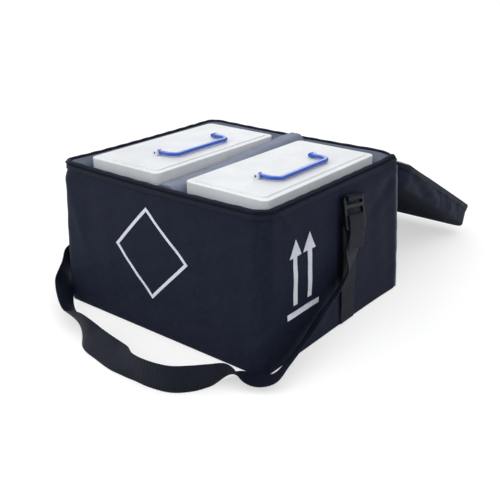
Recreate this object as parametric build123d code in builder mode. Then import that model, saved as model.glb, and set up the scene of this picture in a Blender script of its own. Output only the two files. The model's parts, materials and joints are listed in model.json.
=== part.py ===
"""Soft specimen transport bag, open, with two lidded specimen boxes and a shoulder strap.

Millimetres. The origin is the middle of the base, on the surface that the bag stands on. +Z is up, +X runs
along the bag's width, and the front wall faces -Y. The cover hangs open behind the bag, from its back rim.
"""

import math
import os

from build123d import *

os.makedirs("parts", exist_ok=True)

# The bag, outside, measured at the rim; each wall leans out a little towards the base
bag_width = 376
bag_depth = 343
bag_height = 231
base_spread = 8
rim_corner = 22
base_corner = 12

# A wall's plies from the outside in, and the gap left between sewn layers
skin = 1.5
foam = 8
lining = 1.5
ply_gap = 0.2

# The rim: a folded binding over the wall, and half a zip under its outer edge
binding_height = 3
binding_overhang = 0.6
binding_round = 1.3
zip_tape_width = 8
zip_tape = 1.1
zip_drop = 3.8
coil_height = 2.2
coil_width = 2.3
coil_gap = 0.2
zip_back_run = 48

# The cover: a shallow tray that closes over the rim like a box lid
cover_height = 40
cover_ease = 0.4
cover_lining = 1.0
cover_skin = 1.4
cover_plate = 6
cover_edge_round = 5
cover_foam = 8
cover_tape_width = 9
cover_tape = 0.8
hinge_set_back = 13.1
hinge_below_zip = 5.7
cover_rest_gap = 0.3
hinge_strip = 1.2
hinge_strip_drop = 9
hinge_strip_reach = 8
hinge_strip_rise = 4.6

# The padded divider between the two boxes, and the room left round each box
divider_width = 40
divider_drop = 4
divider_round = 12
left_box_side_room = 21.1
left_box_divider_room = 6
right_box_divider_room = 4.5
right_box_side_room = 3.6
box_front_room = 12.1
box_back_room = 33.1

# The specimen boxes
box_corner = 10
box_wall = 2.6
box_floor = 3
box_taper = 5.2
box_seat_gap = 0.4
box_foot_round = 4
box_ledge = 3
box_ledge_drop = 15

# Their lids
lid_rise = 6
lid_step = 1.8
lid_border = 9
lid_panel_corner = 7
lid_side = 17
lid_wall = 3
lid_ceiling = 3.2
lid_fit = 0.5
lid_edge_round = 1.2
core_depth = 17
core_fit = 0.8
core_foot_round = 2

# The lids' carrying handles and the bosses that they turn in
pivot_x = 7
pivot_y = -6.5
pivot_height = 4.6
handle_width = 7
handle_height = 5
handle_round = 1.6
handle_reach = 32
handle_straight = 20
handle_grip = 113
handle_bend = 8
handle_span = 126
knuckle = 3.3
knuckle_length = 7
pin = 1.8
pin_fit = 0.08
pin_length = 4.8
boss_width = 7.6
boss_length = 5.2
boss_round = 3.4
boss_gap = 0.3

# Side webbing and the ladder-lock buckles hung in its top loops
webbing = 1.7
webbing_width = 38
side_y = 27
loop_drop = 32
loop_foot = 3
loop_return_drop = 1
loop_inner_end = 40
frame_width = 52
frame_side = 5
frame_thick = 4.5
frame_corner = 4
frame_edge_round = 0.9
top_bar = 5.2
top_slot = 7
window_bar = 5
window_slot = 10.4
grip_bar = 6
low_slot = 9
low_bar = 5
slot_corner = 1.5
grip_rib = 0.7
buckle_stand_off = 6.3
buckle_tilt = 15
buckle_roll = 8
buckle_gap = 0.35
tail_length = 50
tail_lean = 7.7

# The shoulder strap, of the same webbing
strap_width = 40

# The zip's slider, parked on the left wall, and its pull tab
slider_y = 118
slider_length = 12
slider_plate = 1.3
slider_height = 9
slider_gap = 0.3
plate_drop = 3.6
tab_drop = 4.6
tab_length = 17
tab_width = 6
tab_thick = 1.6
tab_pin = 1.0
tab_pin_fit = 0.06


def keep(part, name):
    """Name a finished piece and write it out."""
    part.label = name
    export_step(part, f"parts/{name}.step")


# Places that several pieces share
wall = skin + foam + lining + 2 * ply_gap
inner_start = skin + foam + 2 * ply_gap
base_top = skin + foam + lining + 3 * ply_gap
wall_top = bag_height - binding_height - ply_gap
zip_top = bag_height - zip_drop
divider_top = bag_height - divider_drop
lid_top = bag_height + lid_rise
loop_height = bag_height - loop_drop
cover_open = zip_top + coil_gap
skirt_low = cover_open + coil_height + coil_gap
cover_top = cover_open + cover_height
skirt_in = -(binding_overhang + cover_ease)
skirt_mid = skirt_in - cover_lining - ply_gap
skirt_out = skirt_mid - cover_skin
hinge_y = bag_depth / 2 + hinge_set_back
hinge_z = cover_open - hinge_below_zip

# The boxes fill what the divider and the room round them leave
inner_width = bag_width - 2 * wall
inner_depth = bag_depth - 2 * wall
left_room = left_box_side_room + left_box_divider_room
right_room = right_box_side_room + right_box_divider_room
box_width = (inner_width - divider_width - left_room - right_room) / 2
box_length = inner_depth - box_front_room - box_back_room
box_left_x = -inner_width / 2 + left_box_side_room + box_width / 2
box_right_x = inner_width / 2 - right_box_side_room - box_width / 2
divider_x = box_left_x + box_width / 2 + left_box_divider_room + divider_width / 2
box_y = (box_front_room - box_back_room) / 2


def lean(height):
    """How far a wall stands out from its rim line at a height."""
    return base_spread * (1 - height / bag_height)


def outline_size(inset, height):
    """The width, depth and corner radius of the bag's outline, inset from its outer face."""
    out = 2 * (lean(height) - inset)
    corner = base_corner + (rim_corner - base_corner) * height / bag_height - inset
    return bag_width + out, bag_depth + out, max(corner, 1)


def rim_outline(inset):
    """The outline at the rim, for pieces that stand straight up there."""
    return bag_width - 2 * inset, bag_depth - 2 * inset, max(rim_corner - inset, 1)


def mitre_planes(side):
    """The two upright planes through the rim's corners that cut one wall from the ring of four."""
    nx, ny = {"front": (0, -1), "back": (0, 1), "left": (-1, 0), "right": (1, 0)}[side]
    tx, ty = -ny, nx
    middle = (nx * bag_width / 2, ny * bag_depth / 2)
    half = bag_width / 2 if ny else bag_depth / 2
    for way in (1, -1):
        corner = (middle[0] + way * tx * half, middle[1] + way * ty * half, 0)
        yield Plane(origin=corner, x_dir=(0, 0, 1), z_dir=(nx - way * tx, ny - way * ty, 0))


def wall_panel(name, side, inset, thickness, low, high, square_inside=False):
    """One wall of a ring that follows the bag's leaning outline, mitred at its corners."""
    with BuildPart() as panel:
        for height in (low, high):
            with BuildSketch(Plane.XY.offset(height)):
                RectangleRounded(*outline_size(inset, height))
        loft(ruled=True)
        for height in (low, high):
            width, depth, corner = outline_size(inset + thickness, height)
            with BuildSketch(Plane.XY.offset(height)):
                if square_inside:
                    Rectangle(width, depth)
                else:
                    RectangleRounded(width, depth, corner)
        loft(ruled=True, mode=Mode.SUBTRACT)
        for cut in mitre_planes(side):
            split(bisect_by=cut, keep=Keep.TOP)
    keep(panel.part, name)


def base_sheet(name, inset, low, thickness):
    """A sheet of the base, to the bag's outline at its lower face."""
    with BuildPart() as sheet:
        with BuildSketch(Plane.XY.offset(low)):
            RectangleRounded(*outline_size(inset, low + thickness))
        extrude(amount=thickness)
    keep(sheet.part, name)


SIDES = ("front", "back", "left", "right")

# The base, and the three plies of each wall
base_sheet("base_skin", 0, 0, skin)
base_sheet("base_foam", inner_start, skin + ply_gap, foam)
base_sheet("base_lining", wall + ply_gap, skin + foam + 2 * ply_gap, lining)
for side in SIDES:
    wall_panel(f"{side}_skin", side, 0, skin, skin + ply_gap, wall_top)
    wall_panel(f"{side}_foam", side, skin + ply_gap, foam, skin + ply_gap, wall_top, square_inside=True)
    wall_panel(f"{side}_lining", side, inner_start, lining, skin + foam + 2 * ply_gap, wall_top)

# The binding folded over the top of the walls
with BuildPart() as rim_binding:
    with BuildSketch(Plane.XY.offset(bag_height - binding_height)):
        RectangleRounded(*rim_outline(-binding_overhang))
        RectangleRounded(*rim_outline(wall + binding_overhang), mode=Mode.SUBTRACT)
    extrude(amount=binding_height)
    fillet(rim_binding.faces().sort_by(Axis.Z)[-1].edges(), radius=binding_round)
keep(rim_binding.part, "rim_binding")

# Piping in the two upright seams at the back corners
piping = 1.6
piping_drop = 18


def seam_point(way, height):
    """A point just outside a back corner, on the corner's diagonal."""
    width, depth, corner = outline_size(0, height)
    inward = corner * (1 - math.sqrt(0.5)) - (piping + ply_gap) * math.sqrt(0.5)
    return (way * (width / 2 - inward), depth / 2 - inward, height)


for way, name in ((-1, "left"), (1, "right")):
    foot = seam_point(way, skin + 2 * ply_gap)
    head = seam_point(way, bag_height - piping_drop)
    along = Vector(*head) - Vector(*foot)
    with BuildPart() as seam_piping:
        with BuildSketch(Plane(origin=foot, z_dir=along)):
            Circle(piping)
        extrude(amount=along.length)
    keep(seam_piping.part, f"{name}_seam_piping")


def zip_ring(inset, thickness, low, high, leaning):
    """A band round the rim that stops a little way along the back wall from each back corner."""
    with BuildPart() as ring:
        for grow in (0, thickness):
            for height in (low, high):
                with BuildSketch(Plane.XY.offset(height)):
                    place = outline_size if leaning else lambda i, h: rim_outline(i)
                    RectangleRounded(*place(inset + grow, height))
            loft(ruled=True, mode=Mode.SUBTRACT if grow else Mode.ADD)
        with BuildSketch(Plane.XY.offset(low)):
            with Locations((0, bag_depth / 2)):
                Rectangle(bag_width - 2 * zip_back_run, 2 * rim_corner)
        extrude(amount=high - low, mode=Mode.SUBTRACT)
    return ring.part


# The bag's half of the zip, under the rim: woven tape on the wall, and the coil along its upper edge
tape_out = -(ply_gap + zip_tape)
coil_low = zip_top - coil_height
keep(
    zip_ring(tape_out, zip_tape, coil_low - zip_tape_width - coil_gap, coil_low - coil_gap, True),
    "bag_zip_tape",
)
keep(zip_ring(-(coil_width + ply_gap), coil_width, coil_low, zip_top, True), "bag_zip_coil")

# The padded divider, sewn between the front and back linings
divider_half = bag_depth / 2 - wall - ply_gap
with BuildPart() as divider:
    with BuildSketch(Plane.XZ.offset(-divider_half)):
        with Locations((divider_x, (base_top + divider_top) / 2)):
            Rectangle(divider_width, divider_top - base_top)
    extrude(amount=2 * divider_half)
    top_edges = divider.faces().sort_by(Axis.Z)[-1].edges().filter_by(Axis.Y)
    fillet(top_edges, radius=divider_round)
keep(divider.part, "divider")

# The cover is drawn closed on the bag and then turned open about its hinge, until its rounded back edge comes
# to rest against the back wall
edge_back = hinge_y - (bag_depth / 2 - skirt_out - cover_edge_round)
edge_up = cover_top - cover_edge_round - hinge_z
edge_rest = bag_depth / 2 + lean(hinge_z - edge_up) + cover_rest_gap + cover_edge_round
rest_share = (edge_rest - hinge_y) / math.hypot(edge_back, edge_up)
slope = math.degrees(math.acos(rest_share) - math.atan2(edge_up, edge_back))
cover_angle = 180 + slope
hinge_axis = Axis((0, hinge_y, hinge_z), (-1, 0, 0))
print("cover opens by", round(cover_angle, 2), "degrees about y", hinge_y, "z", round(hinge_z, 2))


def keep_open(part, name):
    """Turn a piece of the closed cover open, and write it out."""
    keep(part.rotate(hinge_axis, cover_angle), name)


def skirt_panel(side):
    """One side of the cover's skirt."""
    with BuildPart() as panel:
        with BuildSketch(Plane.XY.offset(skirt_low)):
            RectangleRounded(*rim_outline(skirt_out))
            RectangleRounded(*rim_outline(skirt_mid), mode=Mode.SUBTRACT)
        extrude(amount=cover_top - cover_plate - ply_gap - skirt_low)
        for cut in mitre_planes(side):
            split(bisect_by=cut, keep=Keep.TOP)
    return panel.part


for side in SIDES:
    keep_open(skirt_panel(side), f"cover_skirt_{side}")

# The cover's top, its foam board and its lining
with BuildPart() as cover_panel:
    with BuildSketch(Plane.XY.offset(cover_top - cover_plate)):
        RectangleRounded(*rim_outline(skirt_out))
    extrude(amount=cover_plate)
    fillet(cover_panel.faces().sort_by(Axis.Z)[-1].edges(), radius=cover_edge_round)
keep_open(cover_panel.part, "cover_panel")

foam_low = cover_top - cover_plate - ply_gap - cover_foam
with BuildPart() as cover_board:
    with BuildSketch(Plane.XY.offset(foam_low)):
        RectangleRounded(*rim_outline(skirt_mid + ply_gap))
    extrude(amount=cover_foam)
keep_open(cover_board.part, "cover_foam")

with BuildPart() as cover_liner:
    with BuildSketch(Plane.XY.offset(foam_low - ply_gap - lining)):
        RectangleRounded(*rim_outline(skirt_mid + ply_gap))
    extrude(amount=lining)
keep_open(cover_liner.part, "cover_lining")

with BuildPart() as skirt_lining:
    with BuildSketch(Plane.XY.offset(skirt_low)):
        RectangleRounded(*rim_outline(skirt_mid + ply_gap))
        RectangleRounded(*rim_outline(skirt_in), mode=Mode.SUBTRACT)
    extrude(amount=foam_low - lining - 2 * ply_gap - skirt_low)
keep_open(skirt_lining.part, "cover_skirt_lining")

# The cover's half of the zip
keep_open(
    zip_ring(skirt_out - ply_gap - cover_tape, cover_tape, skirt_low, skirt_low + cover_tape_width, False),
    "cover_zip_tape",
)
cover_coil = zip_ring(skirt_in - coil_width, coil_width, cover_open, cover_open + coil_height, False)
keep_open(cover_coil, "cover_zip_coil")


def opened(y, z):
    """Where a point of the closed cover's side view goes when the cover is open."""
    turn = math.radians(slope)
    back, up = hinge_y - y, hinge_z - z
    return (
        hinge_y + back * math.cos(turn) + up * math.sin(turn),
        hinge_z - back * math.sin(turn) + up * math.cos(turn),
    )


# The fabric that joins the back wall to the cover's back skirt
strip_face = bag_depth / 2 + ply_gap + hinge_strip / 2
strip_low = skirt_low - ply_gap - hinge_strip / 2
strip_end = opened(bag_depth / 2 - skirt_in, strip_low)
strip_turn = opened(bag_depth / 2 - skirt_out + hinge_strip, strip_low)
with BuildPart() as cover_hinge_strip:
    with BuildSketch(Plane.YZ.offset(-bag_width / 2 + zip_back_run + 2)):
        with BuildLine():
            FilletPolyline(
                (strip_face + lean(wall_top - hinge_strip_drop), wall_top - hinge_strip_drop),
                (strip_face + 0.3, wall_top - 2.5),
                (strip_turn[0] - hinge_strip_reach, strip_turn[1] + hinge_strip_rise),
                strip_turn,
                strip_end,
                radius=(1.5, 3, 0.8),
            )
        trace(line_width=hinge_strip)
    extrude(amount=bag_width - 2 * zip_back_run - 4)
keep(cover_hinge_strip.part, "cover_hinge_strip")


def box_body(name, centre_x):
    """A tapered box with a ledge round its mouth that its lid's skirt closes down to."""
    mouth = box_width - 2 * (lid_wall + lid_fit), box_length - 2 * (lid_wall + lid_fit)
    low, high = base_top + box_seat_gap, lid_top - lid_step - lid_ceiling - box_seat_gap
    centre = (centre_x, box_y)
    with BuildPart() as body:
        for height, pinch in ((low, box_taper), (high, 0)):
            with BuildSketch(Plane.XY.offset(height)):
                with Locations(centre):
                    RectangleRounded(mouth[0] - 2 * pinch, mouth[1] - 2 * pinch, box_corner)
        loft(ruled=True)
        fillet(body.faces().sort_by(Axis.Z)[0].edges(), radius=box_foot_round)
        with BuildSketch(Plane.XY.offset(high - box_ledge_drop)):
            with Locations(centre):
                RectangleRounded(box_width, box_length, box_corner)
        extrude(amount=box_ledge)
        for height, pinch in ((low + box_floor, box_taper), (high, 0)):
            with BuildSketch(Plane.XY.offset(height)):
                with Locations(centre):
                    inset = 2 * (pinch + box_wall)
                    RectangleRounded(mouth[0] - inset, mouth[1] - inset, box_corner - box_wall)
        loft(ruled=True, mode=Mode.SUBTRACT)
    keep(body.part, name)


def box_lid(name, centre_x):
    """A moulded lid: a raised panel inside a stepped border, and a skirt round a hollow underside."""
    border_top = lid_top - lid_step
    with BuildPart() as lid:
        with BuildSketch(Plane.XY.offset(lid_top - lid_side)):
            with Locations((centre_x, box_y)):
                RectangleRounded(box_width, box_length, box_corner)
        extrude(amount=lid_side - lid_step)
        fillet(lid.faces().sort_by(Axis.Z)[-1].edges(), radius=lid_edge_round)
        with BuildSketch(Plane.XY.offset(border_top)):
            with Locations((centre_x, box_y)):
                RectangleRounded(box_width - 2 * lid_border, box_length - 2 * lid_border, lid_panel_corner)
        extrude(amount=lid_step)
        fillet(lid.faces().sort_by(Axis.Z)[-1].edges(), radius=lid_edge_round)
        with BuildSketch(Plane.XY.offset(lid_top - lid_side)):
            with Locations((centre_x, box_y)):
                RectangleRounded(box_width - 2 * lid_wall, box_length - 2 * lid_wall, box_corner - lid_wall)
        extrude(amount=lid_side - lid_step - lid_ceiling, mode=Mode.SUBTRACT)
    keep(lid.part, name)


def lid_core(name, centre_x):
    """The insulating plug under a lid, which stands inside the box's mouth."""
    inset = 2 * (lid_wall + lid_fit + box_wall + core_fit)
    ceiling = lid_top - lid_step - lid_ceiling
    with BuildPart() as core:
        with BuildSketch(Plane.XY.offset(ceiling - ply_gap)):
            with Locations((centre_x, box_y)):
                RectangleRounded(box_width - inset, box_length - inset, box_corner - lid_wall)
        extrude(amount=-core_depth)
        fillet(core.faces().sort_by(Axis.Z)[0].edges(), radius=core_foot_round)
    keep(core.part, name)


def handle(name, centre_x):
    """A bail with round knuckles and pins at its ends, folded down towards +X."""
    x, y, z = centre_x + pivot_x, box_y + pivot_y, lid_top + pivot_height
    half = handle_span / 2
    with BuildPart() as bail:
        with BuildLine():
            FilletPolyline(
                (x, y - half, z),
                (x + handle_straight, y - half, z),
                (x + handle_reach, y - handle_grip / 2, z),
                (x + handle_reach, y + handle_grip / 2, z),
                (x + handle_straight, y + half, z),
                (x, y + half, z),
                radius=handle_bend,
            )
        with BuildSketch(Plane(origin=(x, y - half, z), x_dir=(0, 1, 0), z_dir=(1, 0, 0))):
            RectangleRounded(handle_width, handle_height, handle_round)
        sweep()
        for way in (-1, 1):
            for start, length, radius in (
                (half - knuckle_length / 2, knuckle_length, knuckle),
                (half + knuckle_length / 2, pin_length, pin),
            ):
                with BuildSketch(Plane(origin=(x, y + way * start, z), z_dir=(0, way, 0))):
                    Circle(radius)
                extrude(amount=length)
    keep(bail.part, name)


def handle_boss(name, centre_x, way):
    """An upright boss on the lid that one pin of the handle turns in."""
    x, z = centre_x + pivot_x, lid_top + pivot_height
    y = box_y + pivot_y + way * (handle_span / 2 + knuckle_length / 2 + boss_gap)
    with BuildPart() as boss:
        with BuildSketch(Plane(origin=(x, y, z), x_dir=(1, 0, 0), z_dir=(0, -1, 0))):
            Circle(boss_round)
            with Locations((0, -(pivot_height - ply_gap) / 2)):
                Rectangle(boss_width, pivot_height - ply_gap)
            Circle(pin + pin_fit, mode=Mode.SUBTRACT)
        extrude(amount=-way * boss_length)
    keep(boss.part, name)


for side, centre_x in (("left", box_left_x), ("right", box_right_x)):
    box_body(f"box_body_{side}", centre_x)
    box_lid(f"box_lid_{side}", centre_x)
    lid_core(f"lid_core_{side}", centre_x)
    handle(f"handle_{side}", centre_x)
    for way, end in ((-1, "front"), (1, "back")):
        handle_boss(f"handle_boss_{side}_{end}", centre_x, way)


# The buckle hangs by its top bar. The strap holds its lower end out from the wall and draws it forward
bar_x = bag_width / 2 + lean(loop_height) + buckle_stand_off
tilt, roll = math.radians(buckle_tilt), math.radians(buckle_roll)


def buckle_plane(way):
    """The buckle's own plane: x across it, y up it and z out of its face, from its top bar's middle."""
    out = Vector(way * math.cos(tilt), 0, math.sin(tilt))
    up = Vector(-way * math.sin(tilt), 0, math.cos(tilt))
    bar_run = Vector(0, math.cos(roll), 0) - up * math.sin(roll)
    return Plane(origin=(way * bar_x, side_y, loop_height), x_dir=bar_run * way, z_dir=out)


window_drop = top_bar / 2 + top_slot
grip_drop = window_drop + window_bar + window_slot
low_drop = grip_drop + grip_bar + low_slot
frame_drop = low_drop + low_bar
slot_width = frame_width - 2 * frame_side


def buckle(name, way):
    """A ladder-lock frame: a round top bar for the sewn loop, a window bar and a ribbed bar for the strap."""
    plane = buckle_plane(way)
    with BuildPart() as frame:
        with BuildSketch(plane.offset(-frame_thick / 2)):
            with Locations((0, -frame_drop / 2)):
                Rectangle(frame_width, frame_drop)
            middle_slot = (window_drop + window_bar, grip_drop)
            for head, foot in ((-1, window_drop), middle_slot, (grip_drop + grip_bar, low_drop)):
                with Locations((0, -(head + foot) / 2)):
                    RectangleRounded(slot_width, foot - head, slot_corner, mode=Mode.SUBTRACT)
        extrude(amount=frame_thick)
        outward = frame.edges().filter_by(Axis(plane.origin, plane.z_dir))
        feet = outward.sort_by(Axis(plane.origin, plane.y_dir))[:2]
        fillet(feet, radius=frame_corner)
        rails = frame.edges().filter_by(Axis(plane.origin, plane.y_dir))
        fillet(rails.filter_by(lambda edge: edge.length > frame_drop / 2), radius=frame_edge_round)
        end = plane.origin - plane.x_dir * frame_width / 2
        with BuildSketch(Plane(origin=end, z_dir=plane.x_dir)):
            Circle(top_bar / 2)
        extrude(amount=frame_width)
        with BuildSketch(plane.offset(frame_thick / 2)):
            for rib in (-1, 1):
                with Locations((0, -grip_drop - grip_bar / 2 + rib * grip_bar / 4)):
                    Rectangle(slot_width, grip_rib)
        extrude(amount=grip_rib / 2)
    keep(frame.part, name)


def side_webbing(name, way):
    """Webbing up the middle of a side wall, over the buckle's top bar and back down behind it."""
    face = bag_width / 2 + ply_gap + webbing / 2
    inner_face = face + webbing + ply_gap
    turn = top_bar / 2 + buckle_gap + webbing / 2
    bar_run = buckle_plane(way).x_dir * way
    with BuildPart() as web:
        for edge in (-webbing_width / 2, webbing_width / 2):
            bar = buckle_plane(way).origin + bar_run * (edge / bar_run.Y)
            crown, inner_end = bar.Z + turn, loop_height - loop_inner_end
            with BuildSketch(Plane.XZ.offset(-(side_y + edge))):
                with BuildLine():
                    FilletPolyline(
                        (way * (face + lean(loop_foot)), loop_foot),
                        (way * (face + lean(crown)), crown),
                        (bar.X + way * turn, crown),
                        (bar.X + way * turn, bar.Z - turn),
                        (way * (inner_face + lean(bar.Z)), bar.Z - turn - loop_return_drop),
                        (way * (inner_face + lean(inner_end)), inner_end),
                        radius=(2.2, 2.2, 2.2, 2),
                    )
                trace(line_width=webbing)
        loft(ruled=True)
    keep(web.part, name)


strap_face = frame_thick / 2 + grip_rib / 2 + buckle_gap + webbing / 2


def strap_tail(name, way):
    """The strap's turn over the ribbed bar, with its free end hanging in front."""
    crown = -grip_drop + buckle_gap + webbing / 2
    plane = buckle_plane(way)
    edge = plane.origin + plane.x_dir * strap_width / 2
    side = Plane(origin=edge, x_dir=plane.z_dir, z_dir=-plane.x_dir)
    with BuildPart() as tail:
        with BuildSketch(side):
            with BuildLine():
                FilletPolyline(
                    (-strap_face, -frame_drop),
                    (-strap_face, crown),
                    (strap_face, crown),
                    (strap_face, -frame_drop),
                    (strap_face - tail_lean, crown - tail_length),
                    radius=(2, 2, 12),
                )
            trace(line_width=webbing)
        extrude(amount=strap_width)
    keep(tail.part, name)


for way, side in ((-1, "left"), (1, "right")):
    buckle(f"buckle_{side}", way)
    side_webbing(f"side_webbing_{side}", way)
    strap_tail(f"strap_tail_{side}", way)


def below_buckle(way, beyond):
    """A strap station some way beyond a buckle's lower end, behind it, with the strap square to the buckle."""
    plane = buckle_plane(way)
    middle = plane.origin - plane.z_dir * strap_face - plane.y_dir * (frame_drop + beyond)
    return middle, plane.x_dir * -way


# The strap's stations: its middle, then the way from its lower edge to its upper one. The course leaves the
# left buckle, comes down the left side, round the front on its edge, and up the right side to the other.
left_stations = [
    below_buckle(-1, ply_gap),
    below_buckle(-1, 10),
    ((-206, 15.5, 122), (0, -0.95, 0.28)),
    ((-210, 1, 98), (-0.2, -0.6, 0.75)),
    ((-217, -45, 76), (-0.42, -0.25, 0.87)),
    ((-228, -95, 61), (-0.5, -0.1, 0.86)),
]
front_stations = [
    ((-232, -140, 48), (-0.38, 0, 0.9)),
    ((-214, -172, 38), (0, -0.15, 0.96)),
    ((-192, -198, 28), (-0.02, -0.12, 0.96)),
    ((-164, -220, 22), (-0.1, 0.12, 0.97)),
    ((-128, -238, 19.3), (-0.15, 0.45, 0.85)),
    ((-90, -252, 18), (-0.15, 0.58, 0.8)),
    ((-50, -265, 17.8), (-0.1, 0.62, 0.78)),
    ((-8, -277, 18.4), (-0.1, 0.58, 0.8)),
    ((26, -286, 19.9), (-0.15, 0.35, 0.9)),
    ((48, -292, 20.9), (-0.05, 0.1, 0.98)),
    ((68, -293, 21), (0, 0, 1)),
    ((92, -287, 21), (0, 0, 1)),
    ((117, -275, 21), (0, 0, 1)),
    ((136, -257, 21), (0, -0.05, 1)),
    ((149, -237, 20.4), (0.1, -0.2, 0.95)),
    ((160, -218, 17.6), (0.35, -0.5, 0.78)),
    ((177, -207, 13.4), (0.5, -0.68, 0.52)),
    ((199, -203, 11), (0.57, -0.72, 0.42)),
    ((216, -190, 12.6), (0.62, -0.6, 0.48)),
    ((219, -165, 16.8), (0.64, -0.35, 0.65)),
    ((215.5, -131, 25), (0.655, -0.23, 0.72)),
]
right_stations = [
    ((213, -100, 40), (0.655, -0.23, 0.72)),
    ((212, -76, 53), (0.655, -0.24, 0.72)),
    ((211.5, -55, 63.5), (0.65, -0.27, 0.71)),
    ((211, -36, 71.5), (0.63, -0.33, 0.7)),
    ((209.5, -18, 81), (0.58, -0.45, 0.65)),
    ((208, -2, 91), (0.48, -0.62, 0.55)),
    ((206.5, 9, 103), (0.3, -0.8, 0.4)),
    ((205.4, 15.5, 119), (0.1, -0.95, 0.27)),
    ((205.3, 18, 133), (0, -0.985, 0.17)),
    below_buckle(1, 10),
    below_buckle(1, ply_gap),
]
strap_stations = left_stations + front_stations + right_stations
front_start = len(left_stations)
front_end = front_start + len(front_stations)
strap_middles = [Vector(*middle) for middle, across in strap_stations]
strap_across = [Vector(*across) for middle, across in strap_stations]
strap_steps = 3


def smooth(points, number, share):
    """A point a share of the way from one station to the next, on a smooth curve through them all."""
    last = len(points) - 1
    a, b, c, d = (points[min(max(number + step, 0), last)] for step in (-1, 0, 1, 2))
    square, cube = share**2, share**3
    turned = a * (2 * square - share - cube) + b * (2 - 5 * square + 3 * cube)
    return (turned + c * (share + 4 * square - 3 * cube) + d * (cube - square)) * 0.5


def strap_run(name, first, last):
    """A run of the flat strap from one station to another."""
    with BuildPart() as run:
        for count in range(first * strap_steps, last * strap_steps + 1):
            number, share = divmod(count / strap_steps, 1)
            middle = smooth(strap_middles, int(number), share)
            before = smooth(strap_middles, int(number), share - 0.05)
            along = smooth(strap_middles, int(number), share + 0.05) - before
            across = smooth(strap_across, int(number), share)
            across = across - along * (across.dot(along) / along.dot(along))
            with BuildSketch(Plane(origin=middle, x_dir=across, z_dir=along)):
                Rectangle(strap_width, webbing)
        loft(ruled=True)
    keep(run.part, name)


strap_run("strap_run_left", 0, front_start)
strap_run("strap_front", front_start, front_end)
strap_run("strap_run_right", front_end, len(strap_stations) - 1)
strap_length = sum((end - start).length for start, end in zip(strap_middles, strap_middles[1:]))
print("strap between the buckles", round(strap_length), "mm")

# The slider straddles the bag's coil, and its pull tab hangs from a cross pin
slider_in = bag_width / 2 + coil_width + ply_gap + slider_gap + lean(zip_top - coil_height)
plate_x = max(slider_in, bag_width / 2 - skirt_out + ply_gap + cover_tape + slider_gap)
pull_round = tab_pin + 0.7
tab_x = plate_x + slider_plate + pull_round + slider_gap
tab_z = zip_top - tab_drop
plate_z = zip_top - plate_drop
cheek = 1.4


def left_wall(out, height):
    """A plane that faces out from the left wall, at a distance out and a height, centred on the slider."""
    return Plane(origin=(-out, slider_y, height), x_dir=(0, -1, 0), z_dir=(-1, 0, 0))


with BuildPart() as zip_slider:
    with BuildSketch(left_wall(plate_x, plate_z)):
        RectangleRounded(slider_length, slider_height, 2)
    extrude(amount=slider_plate)
    with BuildSketch(left_wall(slider_in, zip_top - coil_height / 2)):
        Rectangle(slider_length - 3, coil_height - 2 * coil_gap)
    extrude(amount=plate_x - slider_in + slider_plate / 2)
    with BuildSketch(left_wall(plate_x + slider_plate / 2, tab_z)):
        for way in (-1, 1):
            with Locations((way * (tab_width / 2 + slider_gap + cheek / 2), 0)):
                Rectangle(cheek, 2 * pull_round)
    extrude(amount=tab_x + pull_round - plate_x - slider_plate / 2)
    with BuildSketch(Plane(origin=(-tab_x, slider_y - tab_width / 2 - cheek / 2, tab_z), z_dir=(0, 1, 0))):
        Circle(tab_pin)
    extrude(amount=tab_width + cheek)
keep(zip_slider.part, "zip_slider")

with BuildPart() as zip_pull:
    tab_side = (-tab_x, slider_y - tab_width / 2, tab_z)
    with BuildSketch(Plane(origin=tab_side, x_dir=(1, 0, 0), z_dir=(0, 1, 0))):
        Circle(pull_round)
        with Locations((0, tab_length / 2)):
            Rectangle(tab_thick, tab_length)
        Circle(tab_pin + tab_pin_fit, mode=Mode.SUBTRACT)
    extrude(amount=tab_width)
keep(zip_pull.part, "zip_pull")
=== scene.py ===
"""The dressed specimen transport bag: cloth, zips, webbing, strap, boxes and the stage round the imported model."""

import json
import math

import bpy
import numpy as np
from bpy.props import FloatProperty, FloatVectorProperty, PointerProperty
from bpy.types import Operator, Panel, PropertyGroup
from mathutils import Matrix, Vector


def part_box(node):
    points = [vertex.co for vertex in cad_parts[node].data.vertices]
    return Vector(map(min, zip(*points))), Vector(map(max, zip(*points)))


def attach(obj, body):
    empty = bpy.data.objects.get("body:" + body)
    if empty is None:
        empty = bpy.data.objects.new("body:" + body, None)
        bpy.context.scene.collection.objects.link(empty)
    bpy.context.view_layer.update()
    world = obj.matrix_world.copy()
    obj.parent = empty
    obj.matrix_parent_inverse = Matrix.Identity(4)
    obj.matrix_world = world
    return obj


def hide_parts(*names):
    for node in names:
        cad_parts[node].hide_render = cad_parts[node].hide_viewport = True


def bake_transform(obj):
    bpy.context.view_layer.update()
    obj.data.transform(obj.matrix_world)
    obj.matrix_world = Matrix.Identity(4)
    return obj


bl_info = {
    "name": "Specimen transport bag",
    "version": (1, 0, 0),
    "blender": (4, 5, 0),
    "location": "3D View > Sidebar > Transport Bag",
    "description": "Dresses the packed transport bag with cloth, zips, webbing and finishes",
    "category": "Object",
}

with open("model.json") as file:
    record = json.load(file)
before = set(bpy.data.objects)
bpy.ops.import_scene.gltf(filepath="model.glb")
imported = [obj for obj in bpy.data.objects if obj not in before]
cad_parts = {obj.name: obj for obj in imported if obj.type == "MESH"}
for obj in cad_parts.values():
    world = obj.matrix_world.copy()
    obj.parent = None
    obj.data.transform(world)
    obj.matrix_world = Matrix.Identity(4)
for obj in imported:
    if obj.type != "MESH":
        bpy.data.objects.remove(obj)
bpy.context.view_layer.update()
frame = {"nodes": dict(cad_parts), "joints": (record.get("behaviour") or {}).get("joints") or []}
MM = 0.001


def node_corners(node):
    """The lowest and highest corners of a CAD node, in millimetres."""
    low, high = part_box(node)
    return np.array(low) / MM, np.array(high) / MM


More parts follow.
